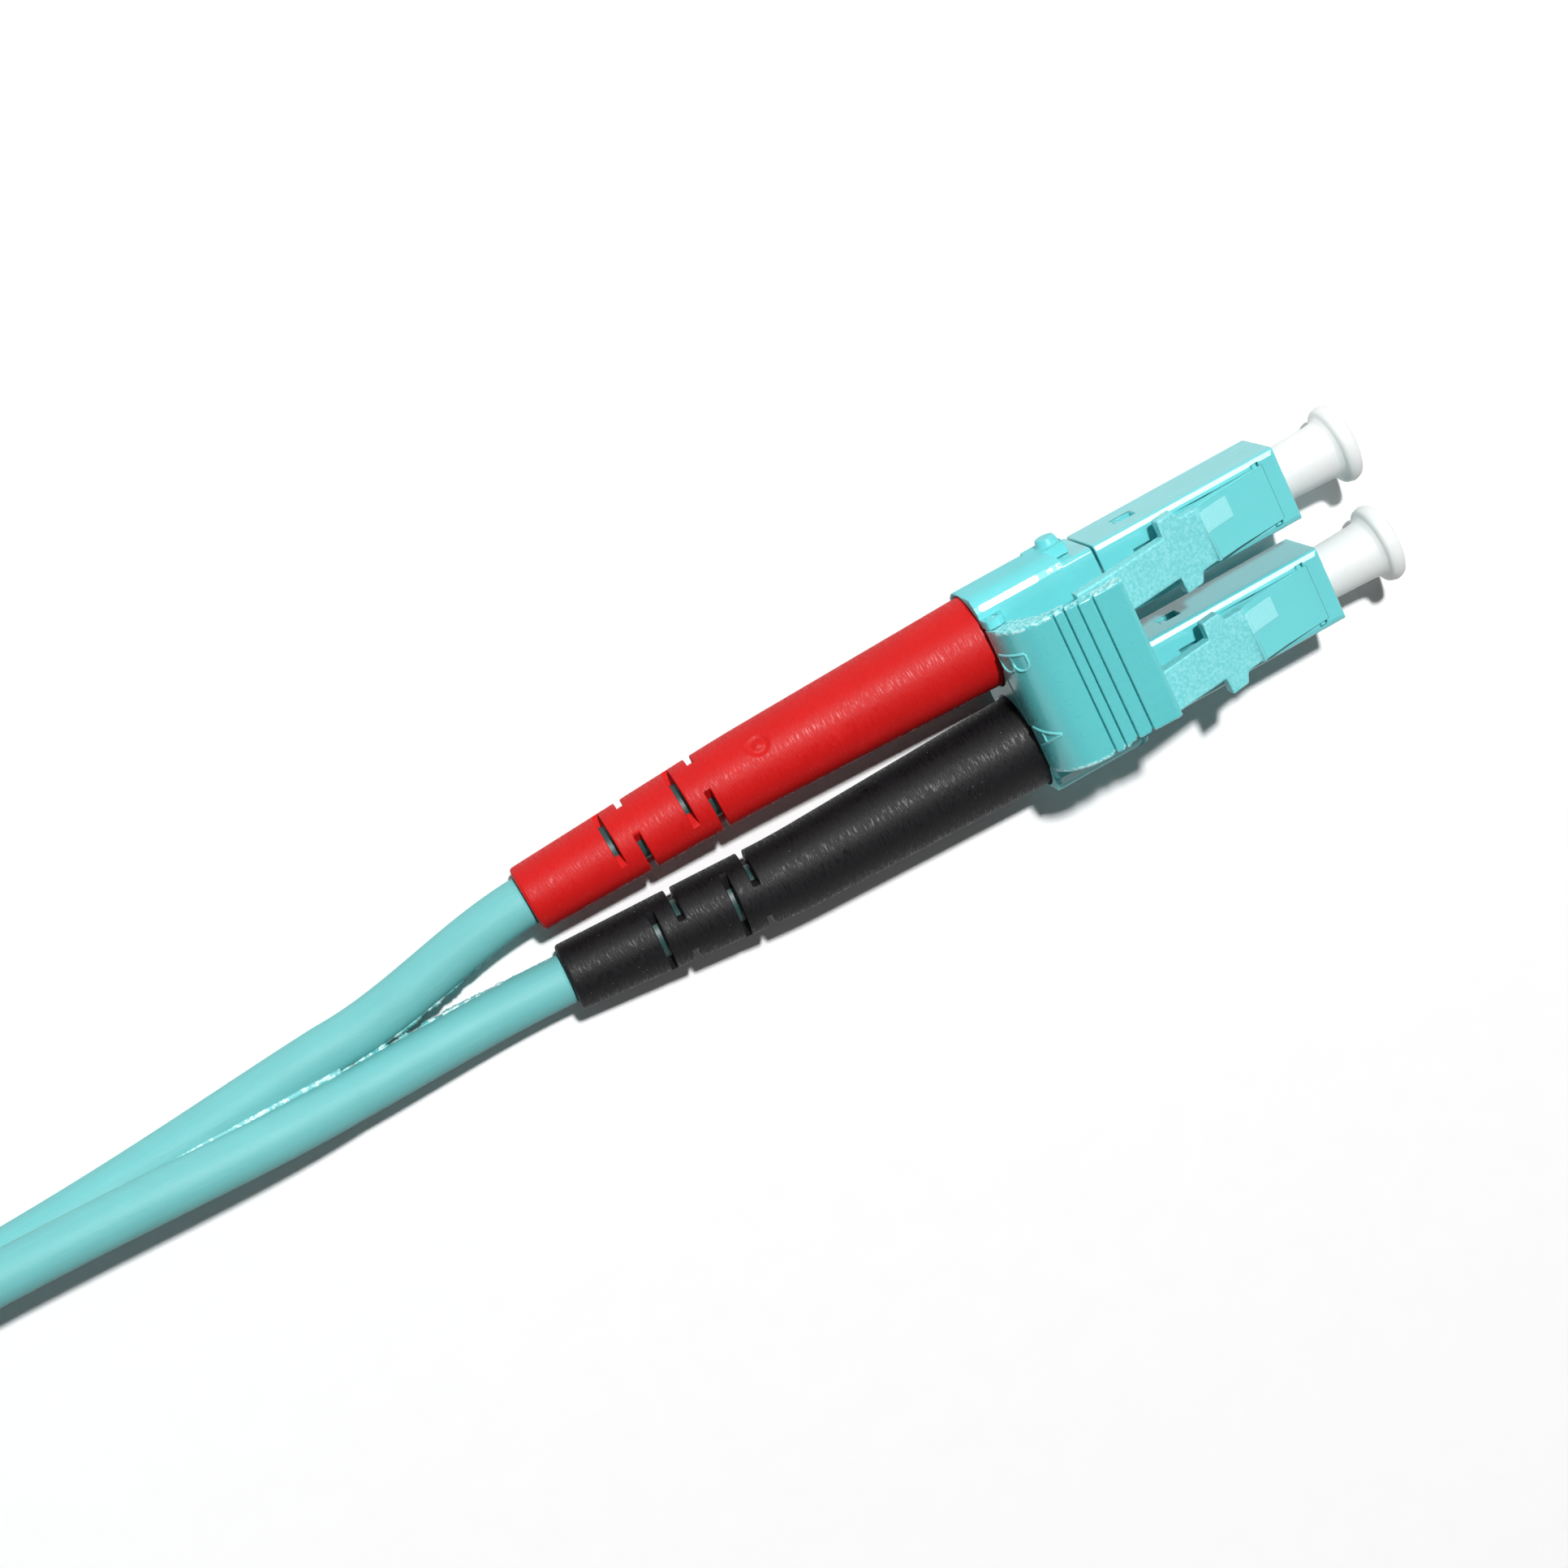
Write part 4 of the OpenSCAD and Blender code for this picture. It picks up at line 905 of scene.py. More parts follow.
class PATCHCORD_OT_stage(bpy.types.Operator):
    """Add the camera, the lamp, the pale floor and the white surroundings"""

    bl_idname = "patchcord.stage"
    bl_label = "Stage"

    # Directions from the target towards the lamps, which stand 1 m away.
    TARGET, KEY, PANEL = (-0.01, 0.0, 0.0), (0.13, 0.53, 1.0), (0.275, 0.45, 0.85)
    # The floor's shading fades to plain white between these distances from the centre.
    CENTRE, FADE = (-0.065, 0.026), (0.13, 0.22)
    # Half the floor's width in millimetres, and the camera's place and turn in degrees.
    FLOOR = 1500.0
    PLACE, TURN = (-0.03365433, 0.05170032, 0.16908606), (-11.44346, -14.51129, -26.45995)

    def execute(self, context):
        scene = context.scene
        self.add_camera(scene)
        self.add_lamps(scene.patch_cord_stage)
        self.add_surroundings(scene)
        self.add_floor()
        return {"FINISHED"}

    def add_camera(self, scene):
        """The camera, and a view that shows colours as they are."""
        camera = bpy.data.objects.new("Camera", bpy.data.cameras.new("Camera"))
        camera.location = self.PLACE
        camera.rotation_euler = [math.radians(a) for a in self.TURN]
        camera.data.lens = scene.patch_cord_stage.lens
        camera.data.sensor_width = 36.0
        camera.data.clip_start, camera.data.clip_end = 0.005, 20.0
        scene.collection.objects.link(camera)
        scene.camera = camera
        scene.view_settings.view_transform = "Standard"

    def add_lamps(self, settings):
        """The small lamp that casts the shadows, and a panel that only glints."""
        key = Vector(self.KEY).normalized() + Vector(self.TARGET)
        softbox("Key", key, self.TARGET, 0.06, 0.06, settings.key_power)
        panel = Vector(self.PANEL).normalized() + Vector(self.TARGET)
        glint = softbox("Glint panel", panel, self.TARGET, 0.25, 0.2, settings.glint_power)
        glint.visible_diffuse = False

    def add_surroundings(self, scene):
        """A world that is white to the camera, dim as a light, and paler near the horizon
        in what is mirrored."""
        world = bpy.data.worlds.new("Surroundings")
        scene.world = world
        tree = Tree(world)
        seen = tree.add("ShaderNodeLightPath", out="Is Camera Ray")
        mirrored = self.mirrored(tree)
        up = tree.part(tree.add("ShaderNodeTexCoord", out="Generated"), 2)
        pale = up.step(0.75, 0.1) * 0.75 + 0.25
        ambient = scene.patch_cord_stage.ambient
        strength = seen.math("MAXIMUM", (mirrored * pale).math("MAXIMUM", ambient))
        tree.surface(
            "ShaderNodeBackground",
            {"Color": (1.0, 1.0, 1.0, 1.0), "Strength": strength},
            "ShaderNodeOutputWorld",
        )

    def add_floor(self):
        """White paper under the cord, which fades to plain white away from it."""
        paper = bpy.data.materials.new("White paper")
        tree = Tree(paper)
        fibre = tree.mix(tree.noise(420.0, 4.0), (0.91, 0.91, 0.91, 1), (0.94, 0.94, 0.94, 1))
        white = tree.add("ShaderNodeBsdfDiffuse", inputs={"Color": fibre})
        glow = tree.add("ShaderNodeEmission", inputs={"Strength": 0.75})
        both = tree.add("ShaderNodeMixShader", inputs=[self.mirrored(tree), white, glow])
        place = tree.place()
        x, y = (tree.part(place, axis) - self.CENTRE[axis] for axis in (0, 1))
        away = (x * x + y * y).math("SQRT").step(*self.FADE)
        shown = tree.add("ShaderNodeLightPath", out="Is Camera Ray")
        plain = tree.add("ShaderNodeEmission", inputs={"Strength": 1.0})
        faded = tree.add("ShaderNodeMixShader", inputs=[away * shown, both, plain])
        tree.add("ShaderNodeOutputMaterial", inputs={"Surface": faded})
        signs = ((-1, -1), (1, -1), (1, 1), (-1, 1))
        points = [(x * self.FLOOR, y * self.FLOOR, 0) for x, y in signs]
        floor = make_mesh("Floor", points, [(0, 1, 2, 3)], (), paper)

    @staticmethod
    def mirrored(tree):
        """1 for a ray that comes by a glossy bounce or through something clear."""
        glossy = tree.add("ShaderNodeLightPath", out="Is Glossy Ray")
        return glossy.math("MAXIMUM", tree.add("ShaderNodeLightPath", out="Is Transmission Ray"))


# Cord ----------------------------------------------------------------------


def web_section():
    """Closed section of the web: thickness 0.9 in the middle, rising with the 1.8th
    power of the distance from it until it meets the lobes."""
    reach = 0.38
    u = np.linspace(-reach, reach, 9)
    at_lobe = math.sqrt((CORD_D / 2) ** 2 - (HALF_STEP - reach) ** 2) - 0.02
    v = WEB_T / 2 + (at_lobe - WEB_T / 2) * (np.abs(u) / reach) ** 1.8
    top = np.stack([u, v], 1)
    return np.concatenate([top[::-1], top * [1, -1]])


def torn_edge(line, inner, upright, height, seed):
    """The torn half of the web on a leg: a thin ridge on its inner side whose height
    jumps along it as torn plastic does, low at the boot and full where the legs part."""
    rng = np.random.default_rng(seed)
    count = len(line)
    knots = np.arange(0, count + 5, 5)
    coarse = np.interp(np.arange(count), knots, rng.random((count + 9) // 5 + 1)[: len(knots)])
    fine = rng.random(count)
    h = height * (0.25 + 0.45 * coarse + 0.5 * fine * (coarse > 0.45))
    h *= smooth(np.linspace(0.15, 1.6, count))
    w = 0.17 + 0.06 * rng.random(count)
    lean = 0.12 * (rng.random(count) - 0.5)
    base = CORD_D / 2 - 0.06
    section = np.stack([
        np.stack([0 * h + base - 0.12, 0 * h], 1),
        np.stack([0 * h + base, -w], 1),
        np.stack([base + 0.6 * h, -0.45 * w + lean], 1),
        np.stack([base + 0.06 + h, lean], 1),
        np.stack([base + 0.6 * h, 0.45 * w + lean], 1),
        np.stack([0 * h + base, w], 1),
    ], 1)
    return swept(line, inner, upright, section)


def torn_leg(line, s, hand, height, seed):
    """The torn edge along leg s, on the side that faces the other leg and rolls with the
    twin cord. hand is 1 at the near end and -1 at the far end, whose legs run back."""
    fine, stations = np.linspace(0, 1, TORN_STEPS), np.linspace(0, 1, len(line))
    line = np.stack([np.interp(fine, stations, line[:, k]) for k in range(3)], 1)
    roll = np.radians(np.linspace(0, ZIP_ROLL, LEG_STEPS))
    turn = np.interp(fine, stations, roll)[::hand, None]
    _, side, up = axes_along(line)
    side = side * np.sign((side * [0.0, -s, 0.0]).sum(1, keepdims=True))
    tilt = s * hand
    inner = side * np.cos(turn) + up * np.sin(turn) * tilt
    upright = up * np.cos(turn) - side * np.sin(turn) * tilt
    return torn_edge(line[::hand], inner[::hand], upright[::hand], height, seed)


class PATCHCORD_OT_cord(bpy.types.Operator):
    """Make the twin cord: legs, torn web, straight lead, coil and its way to the far end"""

    bl_idname = "patchcord.cord"
    bl_label = "Twin cord"

    # Random seeds of the torn edges of each end's first leg.
    NEAR_SEED, FAR_SEED = 3, 11

    def execute(self, context):
        colours = context.scene.patch_cord_colours
        torn = context.scene.patch_cord_sizes.torn_height / MM
        zipped = zip_line()
        one, two = across(zipped)
        near, far = end_of(""), end_of("far_")
        middle = zipped[:, :3] + near
        legs = {s: leg_line(s, 1) + near for _, s in PLUGS}
        far_legs = {s: (leg_line(s, -1) + far)[::-1] for _, s in PLUGS}
        lobes = (
            np.concatenate([legs[-1][:-1], middle + one * HALF_STEP, far_legs[1][1:]]),
            np.concatenate([legs[1][:-1], middle - one * HALF_STEP, far_legs[-1][1:]]),
        )
        parts = [tube(line, CORD_D / 2, CORD_AROUND) for line in lobes]
        parts.append(swept(middle, one, two, web_section()))
        for group, hand, first in ((legs, 1, self.NEAR_SEED), (far_legs, -1, self.FAR_SEED)):
            for seed, (_, s) in enumerate(PLUGS, first):
                parts.append(torn_leg(group[s], s, hand, torn, seed))
        points, faces, caps = joined(parts)
        cord = make_mesh("twin_cord", points, faces, caps, cord_jacket("Cord jacket", colours.cord))
        cord.data.materials.append(torn_web("Torn web", colours.cord))
        kinds = [0 if k < len(lobes) else 1 for k in range(len(parts))]
        kind = np.concatenate([np.repeat(kinds, [len(part[k]) for part in parts]) for k in (1, 2)])
        cord.data.polygons.foreach_set("material_index", kind.astype(np.int32))
        self.map_cord(cord.data, points, lobes)
        face_out(cord)

        leg_middle = (legs[1] + legs[-1]) / 2
        far_middle = (far_legs[1] + far_legs[-1]) / 2
        path = np.concatenate([leg_middle[:-1], middle, far_middle[1:]])
        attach(cord, "cord_set")
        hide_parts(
            "leg_a", "leg_b", "zip_lead", "zip_coil", "zip_tail", "far_leg_a", "far_leg_b"
        )
        context.scene["cord_path"] = (path * MM).ravel().tolist()
        return {"FINISHED"}

    @staticmethod
    def map_cord(mesh, points, lobes):
        """UV of each corner: centimetres along the lobe, and the share round it. The web
        and its torn edges have centimetres along X and up instead."""
        turn = np.arange(CORD_AROUND) / CORD_AROUND
        along = [np.repeat(distances(line) / 10, CORD_AROUND) for line in lobes]
        share = [np.tile(turn, len(line)) for line in lobes]
        rest = points[sum(len(line) for line in lobes) * CORD_AROUND:]
        corner = read(mesh.loops, "vertex_index", 1, np.int32)
        u = np.concatenate([*along, rest[:, 0] / 10])[corner]
        v = np.concatenate([*share, rest[:, 2] / 10])[corner]
        first = read(mesh.polygons, "loop_start", 1, np.int32)
        size = read(mesh.polygons, "loop_total", 1, np.int32)
        owner = np.repeat(np.arange(len(size)), size)
        high = np.maximum.reduceat(v, first)[owner]
        v = np.where((size[owner] == 4) & (high - v > 0.5), v + 1.0, v)
        layer = mesh.uv_layers.new(name="CordMap")
        layer.data.foreach_set("uv", np.stack([u, v], 1).ravel())


# Plugs ---------------------------------------------------------------------


class PATCHCORD_OT_plugs(bpy.types.Operator):
    """Dress the plug bodies and their back bodies in glossy moulded plastic"""

    bl_idname = "patchcord.plugs"
    bl_label = "Plug bodies"

    # The body's rounded edges: centre, radius, turned angles, and the flat strip.
    LAND = (1.87, 1.92, 0.34, ((0, 54, 90), (0, 44.8, 90)), (0.0, 44.8))

    # The latch arm's pocket: half its width, its floor and its front. Then the bore's
    # radius, and the share of the full radius that the edges of both keep.
    POCKET_HALF, POCKET_FLOOR, POCKET_FRONT, BORE_R, CRISP = 1.72, 1.2, -0.6, 2.0, 0.14

    def execute(self, context):
        colours, radius = look_of(context)
        body = moulded_plastic("Plug plastic", colours.body)
        for end, plug, _, front in each_plug():
            for node in ("housing", "back_body"):
                piece = rounded_copy(
                    f"{end}{node}_{plug}", f"{end}{node}_moulding_{plug}", body,
                    self.radii(front, radius),
                    reshape=chamfer(front, self.LAND) if node == "housing" else None,
                )
        return {"FINISHED"}

    def radii(self, front, radius):
        """Full radius outside; a small part of it in the latch arm's pocket, the bore
        and the slots, whose edges stay crisp, and none along the flat strips."""
        def by_edge(middle, along):
            x, y, z = (middle - front).T
            inside = (np.abs(y) < self.POCKET_HALF) & (z > self.POCKET_FLOOR)
            inside &= x < self.POCKET_FRONT
            inside |= np.hypot(y, z) < self.BORE_R
            size = np.where(inside, radius * self.CRISP, radius)
            land = (np.abs(along[:, 0]) > 0.99) & (z > 2.0) & (np.abs(y) > 1.8)
            return np.where(land, 0.0, size)
        return by_edge


class PATCHCORD_OT_latches(bpy.types.Operator):
    """Dress the latch arms: a smooth front panel and a frosted rear with its lugs"""

    bl_idname = "patchcord.latches"
    bl_label = "Latch arms"

    # The panel ahead of the ridge: half its width, how much it is widened by, where the
    # ridge starts, and x and z beyond which its front lies.
    PANEL_HALF, WIDER, RIDGE_X, FRONT_X, FRONT_Z = 1.625, 0.035, -5.65, -1.06, 2.1

    def execute(self, context):
        colours, radius = look_of(context)
        for end, plug, _, front in each_plug():
            name = f"{end}Latch plastic {plug}"
            arm = frosted_latch(name, colours.latch, *(front[:2] * MM))
            piece = rounded_copy(
                f"{end}latch_arm_{plug}", f"{end}latch_moulding_{plug}", arm,
                self.radii(front, radius), reshape=self.widened(front),
            )
        return {"FINISHED"}

    def widened(self, front):
        """Widens the panel ahead of the ridge, and lengthens its front, so that its gap in
        the pocket shrinks from 0.05 to 0.015 mm and shows as the thin seam it is."""
        def move(points):
            x, y, z = (points - front).T
            moved = points.copy()
            side = (np.abs(np.abs(y) - self.PANEL_HALF) < 0.01) & (x > self.RIDGE_X)
            moved[:, 1] += np.where(side, self.WIDER * np.sign(y), 0.0)
            moved[:, 0] += np.where((x > self.FRONT_X) & (z > self.FRONT_Z), self.WIDER, 0.0)
            return moved, np.zeros(len(points), dtype=int)
        return move

    @staticmethod
    def radii(front, radius):
        """The long upper edges of the lugs and the tail are rounded widest, the root
        pin, the ridge and the panel's rim least."""
        def by_edge(middle, along):
            x, _, z = (middle - front).T
            top = 2.26 + 0.29 * np.clip(-x - 1.0, 0, None)
            size = np.where((x < -5.7) & (z > top - 0.9), radius * 1.6, radius * 0.6)
            rim = (x > -5.7) & ((z > top - 0.25) | (x > -2.2))
            return np.where(rim, radius * 0.16, size)
        return by_edge


# Clip and trigger --------------------------------------------------------------


def trigger_back():
    """The trigger's back in (x, z) from the plugs' front and axis: eleven points of
    the cubic p0 u^3 + 3 p1 u^2 t + 3 p2 u t^2 + p3 t^3, with u = 1 - t."""
    t = np.linspace(0, 1, 11)[:, None]
    u = 1 - t
    p = np.array([(-18.9, 3.0), (-18.9, 4.65), (-18.2, 6.2), (-16.3, 6.2)])
    return p[0] * u**3 + 3 * p[1] * u * u * t + 3 * p[2] * u * t * t + p[3] * t**3


SLOPE = trigger_back()


def on_slope(along, y, lift):
    """Points on the trigger's rear slope: along is the distance up it from its foot,
    y is sideways, and lift is the distance off the surface along its normal."""
    run = distances(SLOPE)

    def at(place):
        """x and z at a distance up the slope."""
        return [np.interp(place, run, SLOPE[:, k]) for k in (0, 1)]

    (x, z), (x0, z0), (x1, z1) = at(along), at(along - 0.15), at(along + 0.15)
    slope = np.arctan2(z1 - z0, x1 - x0)
    return np.stack([x - np.sin(slope) * lift, y, z + np.cos(slope) * lift], -1)


# The letters: y of the left side of each, and how far up the slope both stand. Their
# strokes' width and height, and how deep their lower side is sunk.
LETTERS_LEFT, LETTERS_FOOT = {"A": -1.55, "B": 2.9}, 0.36
STROKE_W, STROKE_H, STROKE_SUNK = 0.19, 0.12, 0.04


def letter_strokes(letter):
    """Centre lines of a letter 1 high: (right, up) points."""
    t = np.linspace(-math.pi / 2, math.pi / 2, 13)
    if letter == "A":
        return [np.array([(0.0, 0.0), (0.2, 1.0)]), np.array([(0.2, 1.0), (0.5, 0.0)]),
                np.array([(0.09, 0.4), (0.38, 0.4)])]
    lower = np.stack([0.24 + 0.19 * np.cos(t), 0.26 + 0.26 * np.sin(t)], 1)
    upper = np.stack([0.2 + 0.2 * np.cos(t), 0.76 + 0.24 * np.sin(t)], 1)
    return [np.array([(0.0, 0.0), (0.0, 1.0)]),
            np.concatenate([[(0.0, 0.0)], lower, [(0.0, 0.52)]]),
            np.concatenate([[(0.0, 0.52)], upper, [(0.0, 1.0)]])]


def raised_stroke(stroke, left, size):
    """A low rounded ridge along a stroke: its section is half an ellipse, STROKE_H high
    and STROKE_W wide, and its ends are drawn in. Right is towards -Y, up is up the slope."""
    length = distances(stroke)
    s = np.linspace(0, length[-1], max(10, int(length[-1] * 40)))
    line = np.stack([np.interp(s, length, stroke[:, k]) for k in (0, 1)], 1) * size
    d = np.gradient(line, axis=0)
    d /= np.linalg.norm(d, axis=1)[:, None]
    normal = np.stack([-d[:, 1], d[:, 0]], 1)
    t = np.linspace(0, math.pi, 9)
    to_end = np.minimum(s, length[-1] - s) * size
    ends = np.minimum(1.0, to_end / (STROKE_W / 2) + 0.25)[:, None]
    offset = np.cos(t)[None] * STROKE_W / 2 * np.sqrt(ends)
    lift = np.sin(t)[None] * STROKE_H * ends - STROKE_SUNK
    flat = line[:, None] + normal[:, None] * offset[..., None]
    points = on_slope(LETTERS_FOOT + flat[..., 1], left - flat[..., 0], lift)
    return closed_rings(points, len(s), len(t))


class PATCHCORD_OT_triggers(bpy.types.Operator):
    """Dress the triggers and raise the channel letters on their rear slopes"""

    bl_idname = "patchcord.triggers"
    bl_label = "Triggers and channel letters"

    def execute(self, context):
        colours, radius = look_of(context)
        colour = colours.trigger
        # Painted highlight: the raised letters are painted paler than the trigger they are moulded
        # on.
        pale = tone(colour, 1.25, (0.02, 0.02, 0.02))[:3]
        raised = moulded_plastic("Letters painted paler as highlight", pale, rough=0.2)
        size = context.scene.patch_cord_sizes.letter_height / MM
        for end in ENDS:
            plastic = painted_glint_trigger_plastic(f"{end}Trigger plastic with painted glints", colour, end_of(end)[1] * MM)
            piece = rounded_copy(
                f"{end}trigger", f"{end}trigger_moulding", plastic,
                self.radii(front_of(end), radius),
            )
            parts = [raised_stroke(stroke, left, size)
                     for letter, left in LETTERS_LEFT.items() for stroke in letter_strokes(letter)]
            points, faces, caps = joined(parts)
            points = points + front_of(end)
            letters = make_mesh(f"{end}channel_letters", points, faces, caps, raised)
            face_out(letters)
            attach(letters, body_of(frame["nodes"][f"{end}trigger"])[0])
        return {"FINISHED"}

    @staticmethod
    def radii(front, radius):
        """The rims of the grooves and all lower edges stay crisp; the upper side edges are
        rounded widest."""
        def by_edge(middle, along):
            x, y, z = (middle - front).T
            under = np.where(x > -16.3, z < 5.9, x - np.interp(z, SLOPE[:, 1], SLOPE[:, 0]) > 0.25)
            groove = (np.abs(along[:, 1]) > 0.9) & (z > 5.7) & (x < -13.0)
            side = (np.abs(y) > 4.0) & (np.abs(along[:, 1]) < 0.5)
            size = np.where(side, radius * 1.9, radius * 1.3)
            size = np.where(groove | (z < 3.6), radius * 0.35, size)
            return np.where(under, radius * 0.15, size)
        return by_edge


class PATCHCORD_OT_clips(bpy.types.Operator):
    """Dress the duplex clips"""

    bl_idname = "patchcord.clips"
    bl_label = "Duplex clips"

    # The clip's rounded edges: centre, radius, turned angles, and the flat strip.
    LAND = (4.95, 1.5, 1.1, ((0, 18, 36, 90), (0, 12.7, 32.0, 90)), (12.7, 32.0))

    def execute(self, context):
        colours, radius = look_of(context)
        for end in ENDS:
            middle = front_of(end)
            plastic = clip_plastic(f"{end}Clip plastic", colours.clip, *(middle * MM))
            piece = rounded_copy(
                f"{end}duplex_clip", f"{end}clip_moulding", plastic, radius,
                reshape=chamfer(middle, self.LAND),
            )
        return {"FINISHED"}


# Boots and caps ------------------------------------------------------------------

# A boot's start behind the plug's front, its radius there and how fast it tapers. Where
# it bends, its length and the points round it. Half a slot's width, half the thickness
# left between two slots, the least radius of a slot's floor, and the mouth's radius.
BOOT_X, BOOT_R, BOOT_FALL = 18.05, 2.7, 0.8 / 29.0
BEND_L, BOOT_L, BOOT_AROUND = 15.8, 29.0, 144
SLOT_HALF, SLOT_CORE, SLOT_FLOOR, MOUTH_R = 0.19, 0.95, 1.3, 1.56
# Slots: distance behind the bend, and whether they cut the top or the sides.
SLOTS = ((2.0, "side"), (3.4, "top"), (6.4, "side"), (7.8, "top"))
# Turn of each boot about its axis, and its moulding mark: kind, distance from the
# boot's front, angle from its top towards +Y, and radius.
BOOT_TURN = {"a": 5.0, "b": -45.0}
MARKS = {"a": ("scar", 10.3, 72.0, 0.45), "b": ("gate", 14.4, 38.0, 0.62)}


def boot_rings(rim):
    """Stations along a boot as rows of distance, radius at the outside, depth that the
    rounding takes off at a slot's rim, whether the row is a slot's floor, and the slot."""
    t = np.radians([0.0, 25.0, 50.0, 70.0, 90.0])
    edge, drop = rim * (1 - np.sin(t)), rim * (1 - np.cos(t))
    rows = [(0.0, 2.35), (0.03, 2.45), (0.1, 2.58), (0.2, 2.66), (0.35, 2.7)]
    rows = [(a, r, 0.0, 0, -1) for a, r in rows]
    cut = []
    for k, (a, _) in enumerate(SLOTS):
        low, high = BEND_L + a - SLOT_HALF, BEND_L + a + SLOT_HALF
        cut += [(low - e, None, d, 0, k) for e, d in zip(edge, drop)]
        cut += [(low + 0.004, None, 0.0, 1, k), (low + 0.15, None, 0.0, 1, k),
                (high - 0.15, None, 0.0, 1, k), (high - 0.004, None, 0.0, 1, k)]
        cut += [(high + e, None, d, 0, k) for e, d in zip(edge[::-1], drop[::-1])]
    plain = np.concatenate([np.arange(0.8, 9.4, 0.6), np.arange(9.4, 15.3, 0.11),
                            np.arange(15.4, BOOT_L - 0.35, 0.3)])
    for a in plain:
        if all(abs(a - BEND_L - c) > SLOT_HALF + rim + 0.04 for c, _ in SLOTS):
            rows.append((a, None, 0.0, 0, -1))
    rows += cut
    turn = np.radians(np.linspace(0, 90, 7))
    rows += [(BOOT_L - 0.22 + 0.22 * math.sin(q), 1.69 + 0.216 * math.cos(q), 0.0, 0, -1)
             for q in turn]
    rows = sorted(rows, key=lambda row: row[0])
    rows += [(BOOT_L + 0.001, 1.62, 0.0, 0, -1), (BOOT_L - 0.03, MOUTH_R, 0.0, 0, -1),
             (BOOT_L - 0.8, 1.43, 0.0, 0, -1), (BOOT_L - 1.9, 1.43, 0.0, 0, -1)]
    return rows


def mark_depth(kind, away, rng):
    """Depth of a moulding mark, by the share of its radius away from its middle: a
    gate is a dish with a broken stub in it, a scar is a rough shallow pit."""
    if kind == "gate":
        dish = 0.11 * (1 - smooth((away - 0.78) / 0.22))
        stub = 0.1 * (1 - smooth((away - 0.22) / 0.34)) * (0.6 + 0.8 * rng.random(away.shape))
        return dish - stub
    return (0.02 + 0.07 * (rng.random(away.shape) - 0.5)) * (1 - smooth((away - 0.6) / 0.4))


def boot_surface(plug, s, rim):
    """A boot. Its axis runs straight, then turns over 3 mm into the drooping
    tail. At angle f from the top towards +Y the radius is the cone's; on a slot's floor
    it is the smaller of that and core / |cos(f - slot's direction)|, so that two flat
    floors face each other, but never less than SLOT_FLOOR, inside the jacket."""
    rows = boot_rings(rim)
    rng = np.random.default_rng(5)
    far = np.linspace(0, BOOT_L, 2901)
    share = np.clip((far - BEND_L + 1.5) / 3.0, 0, 1)
    droop, toe = np.radians(DROOP) * share, np.radians(s * TOE) * share
    step = np.stack([-np.cos(toe) * np.cos(droop), -np.sin(toe) * np.cos(droop), -np.sin(droop)], 1)
    axis = np.concatenate([[[0, 0, 0]], np.cumsum(step[:-1] * np.diff(far)[:, None], axis=0)])
    f = np.linspace(0, 2 * math.pi, BOOT_AROUND, endpoint=False)
    points = []
    for a, radius, drop, floor, slot in rows:
        cone = BOOT_R - BOOT_FALL * a if radius is None else radius
        r = np.full(BOOT_AROUND, cone)
        if slot >= 0:
            turn = -BOOT_TURN[plug] + (90 if SLOTS[slot][1] == "side" else 0)
            facing = np.maximum(np.abs(np.cos(f - math.radians(turn))), 1e-3)
            flat = np.maximum(np.minimum(cone, SLOT_CORE / facing), SLOT_FLOOR)
            r = flat if floor else cone - np.minimum(drop, cone - flat)
        kind, mark_a, mark_f, mark_r = MARKS[plug]
        swing = (f - math.radians(mark_f) + math.pi) % (2 * math.pi) - math.pi
        away = np.hypot(a - mark_a, cone * swing) / mark_r
        if radius is None and away.min() < 1:
            r = r - mark_depth(kind, away, rng)
        k = int(np.clip(round(a * 100), 0, len(far) - 1))
        cd, sd, ct, st = np.cos(droop[k]), np.sin(droop[k]), np.cos(toe[k]), np.sin(toe[k])
        y_axis, z_axis = np.array([-st, ct, 0]), np.array([-sd * ct, -sd * st, cd])
        centre = axis[k] + step[k] * (a - far[k])
        ring = np.sin(f)[:, None] * y_axis + np.cos(f)[:, None] * z_axis
        points.append(centre + r[:, None] * ring)
    points = np.concatenate(points) + [-BOOT_X, s * PITCH / 2, AXIS_Z]
    return closed_rings(points, len(rows), BOOT_AROUND)


class PATCHCORD_OT_boots(bpy.types.Operator):
    """Build the boots: smooth bend, rounded slots, mouth and moulding marks"""

    bl_idname = "patchcord.boots"
    bl_label = "Boots"

    def execute(self, context):
        colours = context.scene.patch_cord_colours
        rim = context.scene.patch_cord_sizes.slot_radius / MM
        rubber = {
            "a": satin_rubber("Black rubber", colours.boot_a, 0.5, 0.004),
            "b": satin_rubber("Red rubber", colours.boot_b, 0.2, 0.008),
        }
        for end, plug, s, _ in each_plug():
            points, faces, caps = boot_surface(plug, s, rim)
            points = points + end_of(end)
            piece = make_mesh(f"{end}boot_sleeve_{plug}", points, faces, caps, rubber[plug])
            face_out(piece)
            piece.data.set_sharp_from_angle(angle=math.radians(50))
            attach(piece, body_of(frame["nodes"][f"{end}boot_{plug}"])[0])
            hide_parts(f"{end}boot_{plug}")
        return {"FINISHED"}


class PATCHCORD_OT_caps(bpy.types.Operator):
    """Dress the dust caps in milky plastic"""

    bl_idname = "patchcord.caps"
    bl_label = "Dust caps"

    def execute(self, context):
        colours, radius = look_of(context)
        plastic = cap_plastic("Cap plastic", colours.cap)
        for end, plug, *_ in each_plug():
            piece = rounded_copy(
                f"{end}dust_cap_{plug}", f"{end}cap_moulding_{plug}", plastic, radius * 1.2
            )
        return {"FINISHED"}


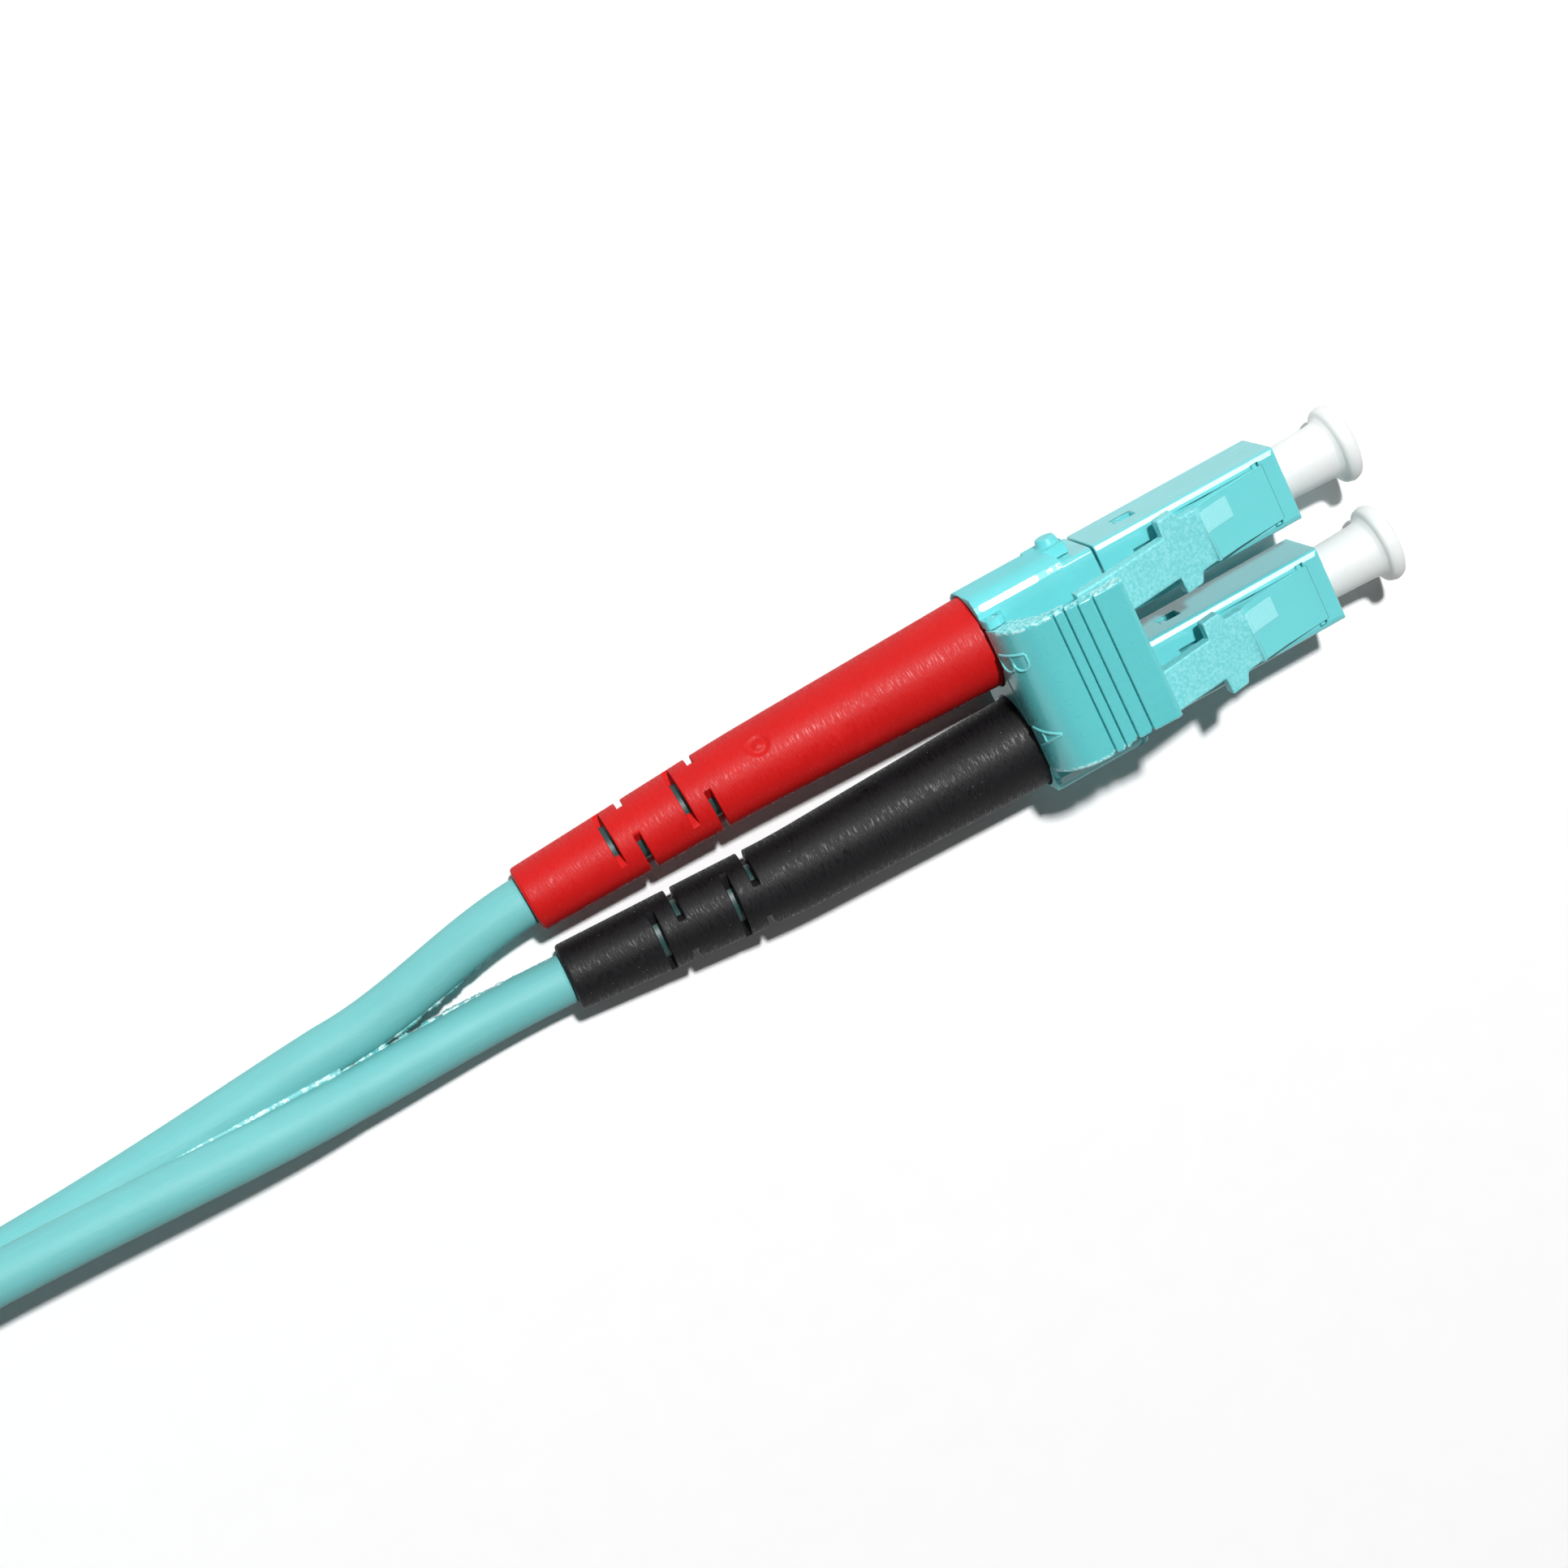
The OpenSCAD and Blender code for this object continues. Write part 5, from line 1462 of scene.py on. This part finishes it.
class PATCHCORD_OT_inside(bpy.types.Operator):
    """Give ferrules, flanges, springs, crimp sleeves, buffers and jackets their finishes"""

    bl_idname = "patchcord.inside"
    bl_label = "Inner pieces"

    def execute(self, context):
        colours = context.scene.patch_cord_colours
        finishes = {
            "flange": bright_metal("Plated metal", (0.78, 0.77, 0.74), 0.22, 3.0),
            "crimp_sleeve": bright_metal("Crimp metal", (0.72, 0.71, 0.69), 0.33, 4.0),
            "buffer": moulded_plastic("Buffer plastic", (0.2, 0.62, 0.6), 0.4),
        }
        steel = bright_metal("Spring steel", (0.62, 0.62, 0.63), 0.28, 1.0)
        ceramic = zirconia("Zirconia")
        # Painted shade: the jacket seen through the boot's slots is painted at an eighth of the
        # cord's colour, though it is the same jacket as the cord.
        painted_shade_tone = tone(colours.cord, 0.12)[:3]
        jacket = moulded_plastic("Jacket in the boot painted dark as shade", painted_shade_tone, 0.45, coat=0.0)
        for end, plug, *_ in each_plug():
            rod = f"{end}ferrule_rod_{plug}"
            piece = rounded_copy(f"{end}ferrule_{plug}", rod, ceramic, None)
            core = f"{end}jacket_core_{plug}"
            piece = rounded_copy(f"{end}jacket_{plug}", core, jacket, None)
            self.coil(end, plug, steel)
            for node, finish in finishes.items():
                if f"{end}{node}_{plug}" in frame["nodes"]:
                    repaint(f"{end}{node}_{plug}", finish)
        return {"FINISHED"}

    @staticmethod
    def coil(end, plug, finish):
        """A copy of the spring with a mesh of its own. The share of its length that would be kept
        when the ferrule slides back is worked out from the slide joint, but nothing uses it."""
        node = f"{end}spring_{plug}"
        piece = rounded_copy(node, f"{end}spring_coil_{plug}", finish, None)
        slide = next(j for j in frame["joints"] if j["name"] == f"{end}ferrule_{plug}_slide")
        rear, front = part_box(f"{end}back_body_{plug}")[1][0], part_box(node)[1][0]
        keep = 1.0 - slide["range_m"][1] / (front - rear)
        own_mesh(piece)


class PATCHCORD_OT_declare(bpy.types.Operator):
    bl_idname = "patchcord.declare"
    bl_label = "Declare the cord"

    def execute(self, context):
        del context.scene["cord_path"]
        names = ["far_clip_moulding", "far_trigger_moulding", "far_channel_letters"]
        for plug, _ in PLUGS:
            names += [f"far_{n}_{plug}" for n in (
                "housing_moulding", "back_body_moulding", "latch_moulding", "boot_sleeve",
                "cap_moulding", "ferrule_rod", "jacket_core", "flange", "spring_coil",
                "crimp_sleeve")]
        return {"FINISHED"}


class PATCHCORD_PT_panel(bpy.types.Panel):
    """Settings and pieces of the patch cord"""

    bl_idname = "PATCHCORD_PT_panel"
    bl_label = "Patch Cord"
    bl_space_type = "VIEW_3D"
    bl_region_type = "UI"
    bl_category = "Patch Cord"

    def draw(self, context):
        scene = context.scene
        groups = (("Sizes", scene.patch_cord_sizes), ("Colours", scene.patch_cord_colours),
                  ("Stage", scene.patch_cord_stage))
        for title, group in groups:
            box = self.layout.box()
            box.label(text=title)
            for name in group.__annotations__:
                box.prop(group, name)
        for operator in OPERATORS:
            self.layout.operator(operator.bl_idname)


OPERATORS = (
    PATCHCORD_OT_stage,
    PATCHCORD_OT_cord,
    PATCHCORD_OT_plugs,
    PATCHCORD_OT_latches,
    PATCHCORD_OT_triggers,
    PATCHCORD_OT_clips,
    PATCHCORD_OT_boots,
    PATCHCORD_OT_caps,
    PATCHCORD_OT_inside,
    PATCHCORD_OT_declare,
)
SETTINGS = {
    "patch_cord_sizes": PatchCordSizes,
    "patch_cord_colours": PatchCordColours,
    "patch_cord_stage": PatchCordStage,
}


def register():
    for cls in (*SETTINGS.values(), *OPERATORS, PATCHCORD_PT_panel):
        bpy.utils.register_class(cls)
    for name, cls in SETTINGS.items():
        setattr(bpy.types.Scene, name, PointerProperty(type=cls))


def unregister():
    for name in SETTINGS:
        delattr(bpy.types.Scene, name)
    for cls in reversed((*SETTINGS.values(), *OPERATORS, PATCHCORD_PT_panel)):
        bpy.utils.unregister_class(cls)


def main():
    register()
    for operator in OPERATORS:
        group, name = operator.bl_idname.split(".")
        getattr(getattr(bpy.ops, group), name)()


if __name__ == "__main__":
    main()
